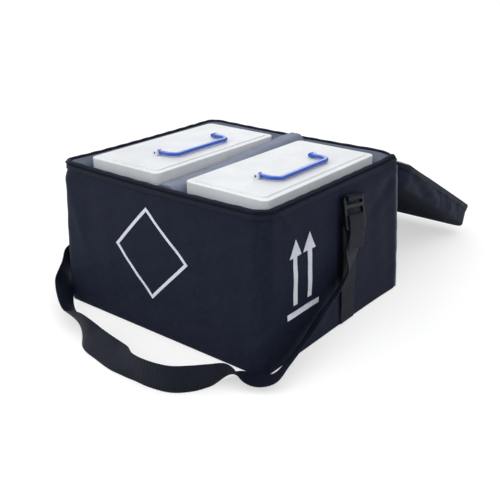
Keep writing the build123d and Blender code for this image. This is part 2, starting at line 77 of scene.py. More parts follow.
# The bag's outline and plies, in millimetres, as in the part's source
RIM_LOW, RIM_HIGH = node_corners("rim_binding")
OVERHANG = 0.6
BAG_WIDTH = RIM_HIGH[0] - RIM_LOW[0] - 2 * OVERHANG
BAG_DEPTH = RIM_HIGH[1] - RIM_LOW[1] - 2 * OVERHANG
BAG_HEIGHT = RIM_HIGH[2]
SPREAD = 8
RIM_CORNER = 22
BASE_CORNER = 12
SKIN = 1.5
FOAM = 8
LINING = 1.5
PLY_GAP = 0.2
WALL = SKIN + FOAM + LINING + 2 * PLY_GAP
RIM_PINCH = 0.46
PINCH_DEPTH = 14
BINDING_HEIGHT = 3
WALL_TOP = BAG_HEIGHT - BINDING_HEIGHT - PLY_GAP
BASE_TOP = WALL + PLY_GAP
ZIP_DROP = 3.8
ZIP_TOP = BAG_HEIGHT - ZIP_DROP
ZIP_BACK_RUN = 48
ZIP_TAPE = 1.1
COIL_HEIGHT = 2.2
COIL_WIDTH = 2.3
COIL_GAP = 0.2
PIPING = 1.6
PIPING_DEPTH = 1.8
SIDE_Y = 27

# The cover, closed, as in the part's source
SKIRT_LOW = ZIP_TOP + COIL_GAP + COIL_HEIGHT + PLY_GAP
COVER_HEIGHT = 40
COVER_TOP = ZIP_TOP + PLY_GAP + COVER_HEIGHT
COVER_PLATE = 6
COVER_FOAM = 8
COVER_TAPE = 0.8
COVER_TAPE_WIDTH = 9
SKIRT_IN = -1.0
SKIRT_MID = -2.2
SKIRT_OUT = -3.6
HINGE_STRIP = 1.2
HINGE_STRIP_DROP = 9
HINGE_STRIP_REACH = 8
HINGE_STRIP_RISE = 4.6
HINGE = next(joint for joint in frame["joints"] if joint["name"] == "cover_hinge")
HINGE_Y, HINGE_Z = HINGE["pos_m"][1] / MM, HINGE["pos_m"][2] / MM
COVER_SLOPE = math.radians(abs(HINGE["range_deg"][0]) - 180)

# The camera that the bag's edges in the photograph give
CAMERA_TARGET = (0.0784, -0.0593, 0.1156)
CAMERA_BACK = (0.566, -0.725, 0.392)
CAMERA_DISTANCE = 1.0859
CAMERA_LENS = 53.35


def linear(code):
    """An sRGB hex colour as Blender's linear red, green, blue and alpha."""
    parts = [int(code[i : i + 2], 16) / 255 for i in (1, 3, 5)]
    return (*[c / 12.92 if c <= 0.04045 else ((c + 0.055) / 1.055) ** 2.4 for c in parts], 1.0)


def length_property(name, description, default):
    """A length that a user may change, shown in the scene's units."""
    return FloatProperty(name=name, description=description, default=default, unit="LENGTH", subtype="DISTANCE")


def colour_property(name, description, code):
    """A colour that a user may change."""
    return FloatVectorProperty(
        name=name, description=description, default=linear(code), subtype="COLOR", size=4, min=0, max=1
    )


class BagShape(PropertyGroup):
    """How far the cloth has sagged and creased."""

    front_sag: length_property("Front sag", "How far the rim hangs down in the middle of the front wall", 0.003)
    corner_lift: length_property("Corner lift", "How far the back right corner of the rim stands up", 0.008)
    corner_flare: length_property("Corner flare", "How far the front left corner stands out", 0.013)
    wall_belly: length_property("Wall belly", "How far the walls swell out in their middles", 0.0035)
    crumple: length_property("Crumple", "Depth of the shallow unevenness all over the walls", 0.0007)
    fold_depth: length_property("Fold depth", "Depth of the folds on the side walls", 0.003)
    cover_wrinkle: length_property("Cover wrinkle", "Depth of the wrinkles round the cover's skirt", 0.0022)


class BagColours(PropertyGroup):
    """The colours of the bag and what it holds."""

    outer: colour_property("Outer nylon", "Cloth of the walls and the cover", "#181D2C")
    lining: colour_property("Lining", "Cloth inside the bag", "#6C7383")
    binding: colour_property("Binding", "Tape over the rim and in the seams", "#141824")
    webbing: colour_property("Webbing", "Shoulder strap and side loops", "#0E121D")
    buckle: colour_property("Buckles", "Moulded buckles", "#090B11")
    box: colour_property("Boxes", "Moulded boxes", "#C3CED6")
    lid: colour_property("Lids", "Moulded lids", "#D9DBDC")
    handle: colour_property("Handles", "Moulded carrying handles", "#0C4CB4")
    ink: colour_property("Print", "Ink of the printed signs", "#EAEEF6")
    # The cord is real, and its pale colour is a painted highlight along the back corners' edges
    piping: colour_property("Piping", "Cord in the back corners' seams", "#6E7480")
    metal: colour_property("Slider", "Plated zip slider", "#4A4C52")


# Nodes and finishes


def add(tree, kind, inputs=None, **settings):
    """Adds a shader node with its settings; an input that is another node's output is linked."""
    made = tree.nodes.new("ShaderNode" + kind)
    for key, value in settings.items():
        setattr(made, key, value)
    for key, value in (inputs or {}).items():
        if isinstance(value, bpy.types.NodeSocket):
            tree.links.new(value, made.inputs[key])
        else:
            made.inputs[key].default_value = value
    return made


def new_finish(name, **values):
    """An empty material with its shader, whose plain values are set on the shader's own sockets."""
    material = bpy.data.materials.new(name)
    material.use_nodes = True
    tree = material.node_tree
    shader = tree.nodes["Principled BSDF"]
    for key, value in values.items():
        shader.inputs[key.replace("_", " ")].default_value = value
    return material, tree, shader


def shade(colour, factor):
    """A colour made darker or lighter by a factor."""
    return (*[min(1.0, c * factor) for c in colour[:3]], 1.0)


def blended(tree, factor, first, second):
    """A mix of two colours by a factor."""
    inputs = {"Factor": factor, "A": first, "B": second}
    return add(tree, "Mix", inputs, data_type="RGBA").outputs["Result"]


def mottled(tree, vector, dark, light, size, detail=3):
    """A slow wander between two colours over patches of a size in metres, and the wander by itself."""
    noise = add(tree, "TexNoise", {"Vector": vector, "Scale": 1 / size, "Detail": detail, "Roughness": 0.6})
    ramp = add(tree, "MapRange", {"Value": noise.outputs["Fac"], "From Min": 0.3, "From Max": 0.7})
    return blended(tree, ramp.outputs[0], dark, light), noise.outputs["Fac"]


def bands(tree, vector, spacing, direction):
    """Ridges across a direction, at a spacing in metres: the wave texture turns 20 radians a metre at scale 1."""
    inputs = {"Vector": vector, "Scale": 2 * math.pi / (20 * spacing)}
    return add(tree, "TexWave", inputs, bands_direction=direction).outputs["Fac"]


def maths(tree, operation, *values):
    """One sum on numbers or outputs."""
    return add(tree, "Math", dict(enumerate(values)), operation=operation).outputs[0]


def plain_weave(tree, vector, spacing):
    """Threads over and under each other: warp ridges in one half of the squares, weft ridges in the other."""
    warp, weft = bands(tree, vector, spacing, "X"), bands(tree, vector, spacing, "Y")
    squares = add(tree, "TexChecker", {"Vector": vector, "Scale": 1 / spacing}).outputs["Fac"]
    over = maths(tree, "MULTIPLY", warp, squares)
    under = maths(tree, "MULTIPLY", weft, maths(tree, "SUBTRACT", 1.0, squares))
    return maths(tree, "ADD", over, under)


def bump(tree, shader, height, distance, strength=1.0):
    """Raises the surface by a height of 0 to 1 times a distance in metres."""
    raised = add(tree, "Bump", {"Height": height, "Distance": distance, "Strength": strength})
    tree.links.new(raised.outputs["Normal"], shader.inputs["Normal"])


def uneven_gloss(tree, shader, wander, roughness, spread):
    """Lets the roughness wander by a spread about its middle."""
    rough = maths(tree, "MULTIPLY_ADD", wander, spread, roughness - spread / 2)
    tree.links.new(rough, shader.inputs["Roughness"])


def colours():
    """The colours that a user may change."""
    return bpy.context.scene.bag_colours


# How far the tops of threads are painted towards a paler colour: a painted highlight where they stand up into the
# light
THREAD_TOP_HIGHLIGHT = 0.35


def cloth(name, colour, spacing, thread, roughness, patch, sheen, variation=0.35):
    """Woven cloth on the piece's own UV map, which is in metres along and up the cloth."""
    material, tree, shader = new_finish(
        name, Roughness=roughness, IOR=1.53, Specular_IOR_Level=0.09, Sheen_Weight=sheen, Sheen_Roughness=0.45,
        Sheen_Tint=(0.45, 0.55, 0.9, 1),
    )
    uv = add(tree, "TexCoord").outputs["UV"]
    weave = plain_weave(tree, uv, spacing)
    tone, wander = mottled(tree, uv, shade(colour, 1 - variation), shade(colour, 1 + variation), patch, detail=5)
    # Painted highlight: the weave's raised threads are painted paler, as if lit on their tops
    raised = maths(tree, "MULTIPLY", weave, THREAD_TOP_HIGHLIGHT)
    tree.links.new(blended(tree, raised, tone, shade(colour, 1.9)), shader.inputs["Base Color"])
    uneven_gloss(tree, shader, wander, roughness, 0.16)
    bump(tree, shader, weave, thread, 0.7)
    return material


def outer_nylon():
    # Coated nylon pack cloth: matt, with a slight sheen on folds. Its threads are 0.6 mm apart, drawn at 1.9 mm
    # because finer ones don't show at this distance.
    return cloth("coated_nylon_pack_cloth", colours().outer, 0.0019, 0.0003, 0.62, 0.009, 0.02)


def lining_nylon():
    # Nylon taffeta lining: smoother and paler, with a soft gleam. Threads drawn at 1.5 mm, real ones 0.3 mm.
    return cloth("nylon_taffeta_lining", colours().lining, 0.0015, 0.00012, 0.5, 0.02, 0.03, 0.15)


def ribbed_tape(name, colour, ridge, cross, roughness, depth, sheen=0.02, ways="XY"):
    """Narrow woven tape: ridges at one spacing, one way of its UV map, and fine threads the other way."""
    material, tree, shader = new_finish(
        name, Roughness=roughness, IOR=1.53, Specular_IOR_Level=0.12, Sheen_Weight=sheen, Sheen_Roughness=0.4,
        Sheen_Tint=(0.5, 0.6, 0.9, 1),
    )
    uv = add(tree, "TexCoord").outputs["UV"]
    ribs, threads = bands(tree, uv, ridge, ways[0]), bands(tree, uv, cross, ways[1])
    height = maths(tree, "MULTIPLY_ADD", threads, 0.35, ribs)
    tone, _ = mottled(tree, uv, shade(colour, 0.7), shade(colour, 1.35), 0.012)
    # Painted highlight: the tops of the ribs and threads are painted paler, as if lit
    raised = maths(tree, "MULTIPLY", height, THREAD_TOP_HIGHLIGHT)
    tree.links.new(blended(tree, raised, tone, shade(colour, 2.0)), shader.inputs["Base Color"])
    bump(tree, shader, height, depth)
    return material


def binding_tape():
    # Nylon grosgrain binding, 0.9 mm ribs across it, drawn at 1.6 mm so that they show
    return ribbed_tape("nylon_grosgrain_binding", colours().binding, 0.0016, 0.004, 0.55, 0.00025)


def piping_cord():
    # Cotton piping cord: fine ribs, dull. Its pale colour is a painted highlight along the back corners' edges
    return ribbed_tape("piping_cord_painted_highlight", colours().piping, 0.0012, 0.0016, 0.65, 0.0002)


def zip_tape():
    # Woven polyester zip tape: fine ribs and a dull face
    return ribbed_tape("polyester_zip_tape", colours().binding, 0.002, 0.0022, 0.6, 0.0002)


def strap_webbing():
    # Nylon webbing, woven in ribs across it about 2.4 mm apart, with a slight shine on each that is partly a painted
    # highlight on each rib's top
    return ribbed_tape("ribbed_nylon_webbing", colours().webbing, 0.0024, 0.0042, 0.46, 0.0004, 0.03, "YX")


def moulded(name, colour, roughness, grain, depth, **values):
    """Moulded plastic on Object coordinates: a faint grain, and a slow change of tone and gloss."""
    material, tree, shader = new_finish(name, Roughness=roughness, **values)
    place = add(tree, "TexCoord").outputs["Object"]
    tone, wander = mottled(tree, place, shade(colour, 0.93), shade(colour, 1.05), 0.05)
    tree.links.new(tone, shader.inputs["Base Color"])
    fine = add(tree, "TexNoise", {"Vector": place, "Scale": 1 / grain, "Detail": 3}).outputs["Fac"]
    uneven_gloss(tree, shader, wander, roughness, 0.14)
    bump(tree, shader, fine, depth)
    return material


def box_polypropylene():
    # Natural polypropylene, injection moulded: slightly milky, with a satin skin
    return moulded(
        "satin_polypropylene_box", colours().box, 0.42, 0.003, 0.00008, IOR=1.49, Subsurface_Weight=0.12,
        Subsurface_Scale=0.004,
    )


def lid_polypropylene():
    # White polypropylene, spark-eroded mould: a fine satin grain that softens highlights
    return moulded(
        "grained_polypropylene_lid", colours().lid, 0.45, 0.0022, 0.00012, IOR=1.49, Subsurface_Weight=0.12,
        Subsurface_Scale=0.004,
    )


def core_foam():
    # Expanded polystyrene core, closed cells about 3 mm across
    return moulded("white_polystyrene_core", colours().lid, 0.75, 0.003, 0.0004, IOR=1.55)


def handle_nylon():
    # Blue nylon, injection moulded and polished: clear highlights along the rod
    return moulded(
        "polished_blue_nylon", colours().handle, 0.2, 0.004, 0.00002, IOR=1.53, Coat_Weight=0.2, Coat_Roughness=0.08
    )


def buckle_acetal():
    # Black acetal, fine matt mould texture
    return moulded("black_acetal_buckle", colours().buckle, 0.34, 0.0018, 0.00006, IOR=1.48, Specular_IOR_Level=0.3)


def slider_plating():
    # Die-cast zinc, black nickel plated: dull metal, a little worn on its edges
    return moulded("black_nickel_plated_zinc", colours().metal, 0.36, 0.002, 0.00005, Metallic=1.0)


def screen_ink():
    # Screen-printed ink, sunk into the weave: matt, and thin where the threads stand up
    material, tree, shader = new_finish("screen_printed_ink", Roughness=0.7, IOR=1.5)
    place = add(tree, "TexCoord").outputs["Object"]
    tone, wander = mottled(tree, place, shade(colours().ink, 0.88), colours().ink, 0.004)
    tree.links.new(tone, shader.inputs["Base Color"])
    bump(tree, shader, wander, 0.0001)
    return material


FINISHES = {}


def finish_of(maker):
    """The material that a maker function gives, made once."""
    if maker not in FINISHES:
        FINISHES[maker] = maker()
    return FINISHES[maker]


def dress(node, maker):
    """Gives a CAD node its procedural material."""
    data = frame["nodes"][node].data
    data.materials.clear()
    data.materials.append(finish_of(maker))


# Surfaces


# Faces that meet at a sharper angle than this are shaded with an edge between them
CREASE = math.radians(50)


def surface(name, grid, uv, maker, wrap_rows=False):
    """A mesh from a grid of points in millimetres: quads between neighbouring rows and columns.

    The columns, and the rows if told, join up end to end. Where the rows don't, a fan to its middle closes the
    first and the last one. uv has one row and column more than a side that joins up.
    """
    rows, columns = grid.shape[:2]
    points = grid.reshape(-1, 3)
    i, j = np.meshgrid(np.arange(rows if wrap_rows else rows - 1), np.arange(columns), indexing="ij")
    across = np.stack((i, i, i + 1, i + 1), -1).reshape(-1, 4)
    around = np.stack((j, j + 1, j + 1, j), -1).reshape(-1, 4)
    faces = ((across % rows) * columns + around % columns).tolist()
    face_uv = [uv[across, around].reshape(-1, 2)]
    for row, way in () if wrap_rows else ((0, 1), (rows - 1, -1)):
        middle = len(points)
        points = np.vstack((points, grid[row].mean(0)))
        start = np.arange(columns)
        fan = np.stack((start, np.full(columns, -1), start + 1), -1)[:, ::way]
        faces += np.where(fan < 0, middle, row * columns + fan % columns).tolist()
        corners = np.where(fan[..., None] < 0, uv[row].mean(0), uv[row][np.maximum(fan, 0)])
        face_uv.append(corners.reshape(-1, 2))
    mesh = bpy.data.meshes.new(name)
    mesh.from_pydata((points * MM).tolist(), [], faces)
    layer = mesh.uv_layers.new(name="cloth")
    layer.data.foreach_set("uv", (np.vstack(face_uv) * MM).ravel())
    mesh.calc_loop_triangles()
    tris = np.empty(len(mesh.loop_triangles) * 3, np.int32)
    mesh.loop_triangles.foreach_get("vertices", tris)
    a, b, c = points[tris.reshape(-1, 3)].transpose(1, 0, 2)
    if (a * np.cross(b, c)).sum() < 0:
        mesh.flip_normals()
    mesh.shade_smooth()
    mesh.set_sharp_from_angle(angle=CREASE)
    mesh.materials.append(finish_of(maker))
    made = bpy.data.objects.new(name, mesh)
    bpy.context.scene.collection.objects.link(made)
    return made


def stacked(*parts):
    """Coordinates of every point of a grid, from parts that vary along its rows, its columns or both."""
    return np.stack(np.broadcast_arrays(*parts), -1)


def unit(vectors):
    """Vectors at a length of 1."""
    return vectors / np.linalg.norm(vectors, axis=-1, keepdims=True)


def walked(points):
    """Distance along a row of points from its first."""
    return np.concatenate(([0], np.cumsum(np.linalg.norm(np.diff(points, axis=0), axis=-1))))


def girth(section):
    """Distance round a closed section from its first point, back to it."""
    return walked(np.vstack((section, section[:1])))


def ease(value):
    """A smooth step from 0 to 1."""
    value = np.clip(value, 0, 1)
    return value * value * (3 - 2 * value)


# A rounded rectangle's outline goes from the middle of its back round by its left: at each knot, which corner's
# centre it turns about, in halves of the size, and the angle that it has turned through
KNOTS_X = (0, -1, -1, -1, -1, 1, 1, 1, 1, 0)
KNOTS_Y = (1, 1, 1, -1, -1, -1, -1, 1, 1, 1)
KNOTS_TURN = (90, 90, 180, 180, 270, 270, 360, 360, 450, 450)
LAST_KNOT = 9
# The places between which the zip runs: it stops on the back, as far in from each corner
BACK_RUN_PLACE = (BAG_WIDTH / 2 - ZIP_BACK_RUN) / (BAG_WIDTH / 2 - RIM_CORNER)
ZIP_ENDS = {"first": BACK_RUN_PLACE, "last": LAST_KNOT - BACK_RUN_PLACE}
# How many points a distance round the outline is measured with
FINE_COUNT = 6001


def ring(place, width, depth, corner):
    """Points on a rounded rectangle: the corner's centre at that place, plus its radius at the turned angle."""
    knots = np.arange(LAST_KNOT + 1)
    turn = np.radians(np.interp(place, knots, KNOTS_TURN))
    x = np.interp(place, knots, KNOTS_X) * (width / 2 - corner) + corner * np.cos(turn)
    y = np.interp(place, knots, KNOTS_Y) * (depth / 2 - corner) + corner * np.sin(turn)
    return x, y


def places(spacing, first=0.0, last=LAST_KNOT):
    """Places evenly spaced round the rim's outline, and how far along it each is."""
    fine = np.linspace(first, last, FINE_COUNT)
    line = np.stack(ring(fine, BAG_WIDTH, BAG_DEPTH, RIM_CORNER), -1)
    far = walked(line)
    along = np.linspace(0, far[-1], int(far[-1] / spacing) + 1)
    return np.interp(along, far, fine), along


def lean(height):
    """How far a wall stands out from its rim line at a height."""
    return SPREAD * (1 - height / BAG_HEIGHT)


def corner_at(height):
    """The corners' radius at a height: it grows from the base to the rim."""
    return BASE_CORNER + (RIM_CORNER - BASE_CORNER) * height / BAG_HEIGHT


def outline(place, inset, height, upright=False):
    """Points of the bag's outline at places, inset from its outer face, at heights; a wall thins to its rim."""
    if not upright:
        thinned = 1 - RIM_PINCH * ease((height - WALL_TOP + PINCH_DEPTH) / PINCH_DEPTH)
        inset = np.where(np.asarray(inset) > 0, inset * thinned, inset)
    out = 2 * ((0 if upright else lean(height)) - inset)
    corner = RIM_CORNER if upright else corner_at(height)
    x, y = ring(place, BAG_WIDTH + out, BAG_DEPTH + out, np.maximum(corner - inset, 1.0))
    return stacked(x, y, height)


def band(profile, spacing, upright=False, first=0.0, last=LAST_KNOT):
    """A closed profile of (inset, height) carried round the outline: one row a place, one column a profile point."""
    place, along = places(spacing, first, last)
    here = place[:-1] if first == 0 and last == LAST_KNOT else place
    profile = np.asarray(profile, float)
    grid = outline(here[:, None], profile[None, :, 0], profile[None, :, 1], upright)
    return grid, stacked(girth(profile)[None, :], along[:, None])


def pan(insets, heights, spacing, upright=False):
    """Outlines stacked from the middle of one face of a pan, over its rim, to the middle of the other face."""
    place, along = places(spacing)
    grid = outline(place[None, :-1], insets[:, None], heights[:, None], upright)
    return grid, stacked(along[None, :], walked(np.stack((insets, heights), -1))[:, None])


# How far inside its edge the rings of a pan's flat face lie
FACE_RINGS = np.array((150, 118, 86, 54, 26, 9))


def pan_section(outer, inner, low, floor, top, edge, step, inner_levels):
    """Insets and heights down the outside of a pan and up its inside, with a rounded foot and a rim."""
    turn = np.radians(np.linspace(0, 90, 6))
    rise = top - low - edge
    levels = int(rise / step)
    up = low + edge + rise * np.arange(1, levels) / levels
    down = np.linspace(top - 1.0, floor + 3.0, inner_levels)
    insets = (
        FACE_RINGS + outer + edge,
        outer + edge * (1 - np.sin(turn)),
        np.full(len(up), outer),
        (outer, outer + 0.4, inner - 0.4, inner),
        np.full(len(down), inner),
        (inner + 0.5, inner + 3.0),
        FACE_RINGS[::-1] + inner,
    )
    heights = (
        np.full(len(FACE_RINGS), low),
        low + edge * (1 - np.cos(turn)),
        up,
        (top - 0.4, top, top, top - 0.4),
        down,
        (floor + 0.5, floor),
        np.full(len(FACE_RINGS), floor),
    )
    return np.concatenate(insets), np.concatenate(heights)


# How the cloth has settled. Each wall is an axis and a side; along is measured on the other axis.
FRONT, BACK, LEFT, RIGHT = (1, -1), (1, 1), (0, -1), (0, 1)
BELLY = {FRONT: 0.35, BACK: 0.8, LEFT: 0.9, RIGHT: 0.5}
SAG = {FRONT: 1.0, BACK: 0.6, LEFT: 0.5, RIGHT: 0.3}
# In millimetres: the height over which the base holds a wall, and how far in from a wall's face its movement
# starts and then takes to be whole
FOOTING = 30
WALL_REACH, WALL_FADE = 34, 20
# The side loops hold the cloth still within a half width, from a height and over a rise
HOLD_WIDTH, HOLD_HEIGHT, HOLD_RISE = 34, 110, 50
# The zip calms the unevenness from a height and over a rise
CALM_HEIGHT, CALM_RISE = 195, 20
# The front left corner's flare reaches further along the walls low down than it does at the zip
FLARE_AT_ZIP, FLARE_BELOW, FLARE_HEIGHT, FLARE_FADE = 13, 84, 215, 25
# Folds: wall, start and end as (along, height), width in mm, and depth as a share of the fold depth
FOLDS = (
    (RIGHT, (150, 209), (58, 196), 12, 1.3),
    (RIGHT, (140, 186), (98, 158), 12, -0.9),
    (RIGHT, (1, 215), (6, 20), 6, -0.9),
    (RIGHT, (-168, 224), (-166, 70), 6, -0.6),
    (RIGHT, (-149, 226), (-126, 208), 4, 0.5),
    (RIGHT, (-120, 60), (-40, 30), 9, 0.5),
    (FRONT, (178, 222), (181, 60), 5, -0.6),
    (FRONT, (-176, 200), (-150, 120), 10, 0.5),
    (FRONT, (-60, 30), (60, 22), 12, 0.6),
    (FRONT, (70, 205), (140, 190), 12, -0.5),
    (FRONT, (-150, 210), (-60, 198), 11, -0.4),
    (LEFT, (-60, 200), (40, 150), 14, 0.9),
    (LEFT, (90, 205), (130, 60), 12, -0.9),
    (LEFT, (-110, 140), (-90, 40), 14, 0.7),
    (BACK, (-120, 180), (-60, 60), 16, 0.9),
    (BACK, (60, 170), (120, 50), 14, -0.8),
    (BACK, (-20, 150), (30, 90), 18, 0.7),
)


def off_segment(along, height, start, end):
    """Distance of points on a wall from a straight segment."""
    start, step = np.array(start, float), np.subtract(end, start).astype(float)
    share = np.clip(((along - start[0]) * step[0] + (height - start[1]) * step[1]) / (step @ step), 0, 1)
    return np.hypot(along - start[0] - share * step[0], height - start[1] - share * step[1])


def settle(points):
    """Moves the bag's cloth to where it has sagged.

    Each wall swells by a half sine up it times a cosine along it, has folds that are Gaussian ridges about
    segments and a shallow sum of sines, and its rim hangs by a parabola. All fade out at the base, round the
    corners' far sides and where the side loops pull. The back right corner's rim stands up in a Gaussian peak just
    in front of the corner, and the front left corner stands out by an exponential along both walls.
    """
    shape = bpy.context.scene.bag_shape
    moved = np.array(points, float)
    x, y, z = np.moveaxis(np.array(points, float), -1, 0)
    up = np.clip(z / BAG_HEIGHT, 0, 1)
    footing = ease(z / FOOTING)
    for wall in (FRONT, BACK, LEFT, RIGHT):
        axis, way = wall
        half = (BAG_WIDTH, BAG_DEPTH)[axis] / 2
        half_along = (BAG_WIDTH, BAG_DEPTH)[1 - axis] / 2
        along = (y, x)[axis]
        near = ease((way * (x, y)[axis] - half + WALL_REACH) / WALL_FADE)
        share = np.clip(along / half_along, -1, 1)
        out = shape.wall_belly / MM * BELLY[wall] * np.sin(np.pi * up) * np.cos(np.pi / 2 * share)
        for fold_wall, start, end, width, depth in FOLDS:
            if fold_wall == wall:
                far = off_segment(along, z, start, end)
                out = out + shape.fold_depth / MM * depth * np.exp(-((far / width) ** 2))
        waves = np.sin(0.061 * along + 0.043 * z + 3 * axis) * np.sin(0.037 * z - 0.052 * along + way)
        waves = waves + 0.6 * np.sin(0.113 * along - 0.071 * z) * np.sin(0.097 * z + 0.031 * along + 2)
        out = out + shape.crumple / MM * waves * (1 - 0.8 * ease((z - CALM_HEIGHT) / CALM_RISE))
        held = np.exp(-(((y - SIDE_Y) / HOLD_WIDTH) ** 2)) * ease((z - HOLD_HEIGHT) / HOLD_RISE) if axis == 0 else 0
        moved[..., axis] += way * out * near * footing * (1 - held)
        moved[..., 2] -= shape.front_sag / MM * SAG[wall] * (1 - share**2) * near * up**8
    lift = shape.corner_lift / MM
    off_peak = np.hypot(x - BAG_WIDTH / 2, y - BAG_DEPTH / 2 + 24)
    off_corner = np.hypot(x - BAG_WIDTH / 2, y - BAG_DEPTH / 2)
    peak = 0.6 * np.exp(-((off_peak / 15) ** 2)) - 1.1 * np.exp(-((off_corner / 20) ** 2))
    moved[..., 2] += lift * up**12 * peak
    moved[..., 0] += 0.6 * lift * np.exp(-off_corner / 60)
    moved[..., 1] += 0.4 * lift * np.exp(-off_corner / 60)
    reach = FLARE_AT_ZIP + (FLARE_BELOW - FLARE_AT_ZIP) * ease((FLARE_HEIGHT - z) / FLARE_FADE)
    off_corner = np.hypot(x + BAG_WIDTH / 2, y + BAG_DEPTH / 2)
    moved[..., 0] -= shape.corner_flare / MM * np.exp(-off_corner / reach) * footing * up**0.6
    return moved


# The bag's own cloth


class BAG_OT_shell(Operator):
    """Add the bag's outer shell and lining, each one closed pan, and the padded divider."""

    bl_idname = "bag.shell"
    bl_label = "Shell, lining and divider"

    def execute(self, context):
        inner = SKIN + FOAM + 2 * PLY_GAP
        insets, heights = pan_section(0, inner, 0, inner, WALL_TOP, 4, 3.4, 6)
        grid, uv = pan(insets, heights, 3.6)
        shell = surface("bag_shell", settle(grid), uv, outer_nylon)
        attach(shell, "bag")
        walls = [f"{side}_{ply}" for side in ("front", "back", "left", "right") for ply in ("skin", "foam")]
        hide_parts("base_skin", "base_foam", *walls)
        insets, heights = pan_section(inner + PLY_GAP, WALL, inner + PLY_GAP, BASE_TOP, WALL_TOP, 2, 5, 40)
        grid, uv = pan(insets, heights, 4.5)
        lining = surface("bag_lining", settle(self.puckered(grid)), uv, lining_nylon)
        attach(lining, "bag")
        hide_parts("base_lining", *[f"{side}_lining" for side in ("front", "back", "left", "right")])
        self.add_divider()
        return {"FINISHED"}

    @staticmethod
    def puckered(grid):
        """Draws the lining in by a shallow wave along it, strongest under the binding."""
        x, y, z = np.moveaxis(grid, -1, 0)
        inward = -unit(grid * (1, 1, 0))
        wave = 0.5 + 0.5 * np.sin(0.21 * x + 0.17 * y + 1.3 * np.sin(0.03 * z))
        face = lean(z) - WALL + 0.1
        inside = (np.abs(x) < BAG_WIDTH / 2 + face) & (np.abs(y) < BAG_DEPTH / 2 + face)
        return grid + inward * (1.1 * wave * inside * ease((z - 30) / 120) * ease((WALL_TOP - 1 - z) / 8))[..., None]

    @staticmethod
    def add_divider():
        """A padded wall: an upright section with a rounded top, carried from the front lining to the back.

        It thins by a power of a sine towards its ends, and its top leans over and rises by a smooth step to the back.
        """
        low, high = node_corners("divider")
        centre, half, top = (low[0] + high[0]) / 2, (high[0] - low[0]) / 2, high[2]
        soft, count = 14, 25
        turn = np.radians(np.linspace(180, 0, count))
        side = np.linspace(low[2], top - soft, count + 1)[:-1]
        crown_x = np.sign(np.cos(turn)) * (half - soft) + soft * np.cos(turn)
        section_x = np.concatenate((np.full(count, -half), crown_x, np.full(count, half)))
        section_z = np.concatenate((side, top - soft + soft * np.sin(turn), side[::-1]))
        along = np.linspace(low[1], high[1], 81)[:, None]
        share = (along - low[1]) / (high[1] - low[1])
        up = (section_z - low[2]) / (top - low[2])
        pinch = 1 - 0.10 * (1 - np.sin(np.pi * share) ** 0.35) - 0.05 * np.sin(np.pi * up)
        raised = ease((share - 0.1) / 0.75)
        x = centre + section_x * pinch + (0.7 * np.sin(0.05 * along + 3 * up) - 5 * raised * up**2) * up
        z = section_z + up**6 * (9 * raised - 3.2 * np.sin(np.pi * share) + 0.5 * np.sin(0.11 * along))
        grid = stacked(x, along, z)
        uv = stacked(girth(np.stack((section_x, section_z), -1))[None, :], along)
        divider = surface("padded_divider", grid, uv, lining_nylon)
        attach(divider, "bag")
        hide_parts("divider")


def coil(inset, height, upright=False):
    """A zip's coil: a fine thread wound in a helix about a line round the outline."""
    pitch, steps, wound, thread, sides = 1.5, 8, 0.72, 0.36, 5
    place, along = places(pitch / steps, **ZIP_ENDS)
    turn = 2 * np.pi * along / pitch
    middle, outer = (
        outline(place, inset - far * np.cos(turn), height + far * np.sin(turn), upright)
        for far in (wound, wound + thread)
    )
    radial = (outer - middle) / thread
    forward = unit(np.gradient(outline(place, inset, height, upright), axis=0))
    angle = 2 * np.pi * np.arange(sides + 1) / sides
    cosine, sine = np.cos(angle[:-1])[None, :, None], np.sin(angle[:-1])[None, :, None]
    grid = middle[:, None] + thread * (cosine * radial[:, None] + sine * forward[:, None])
    return grid, stacked(thread * angle[None, :], along[:, None])


def straight_box(inset, width, low, high):
    """A flat tape's section, as (inset, height) points: thin, with softened corners."""
    soft = min(width, high - low) * 0.3
    rise = np.linspace(low + soft, high - soft, 5)
    outer = [(inset + soft, low), *[(inset, z) for z in rise], (inset + soft, high)]
    inner = [(inset + width - soft, high), *[(inset + width, z) for z in rise[::-1]], (inset + width - soft, low)]
    return outer + inner


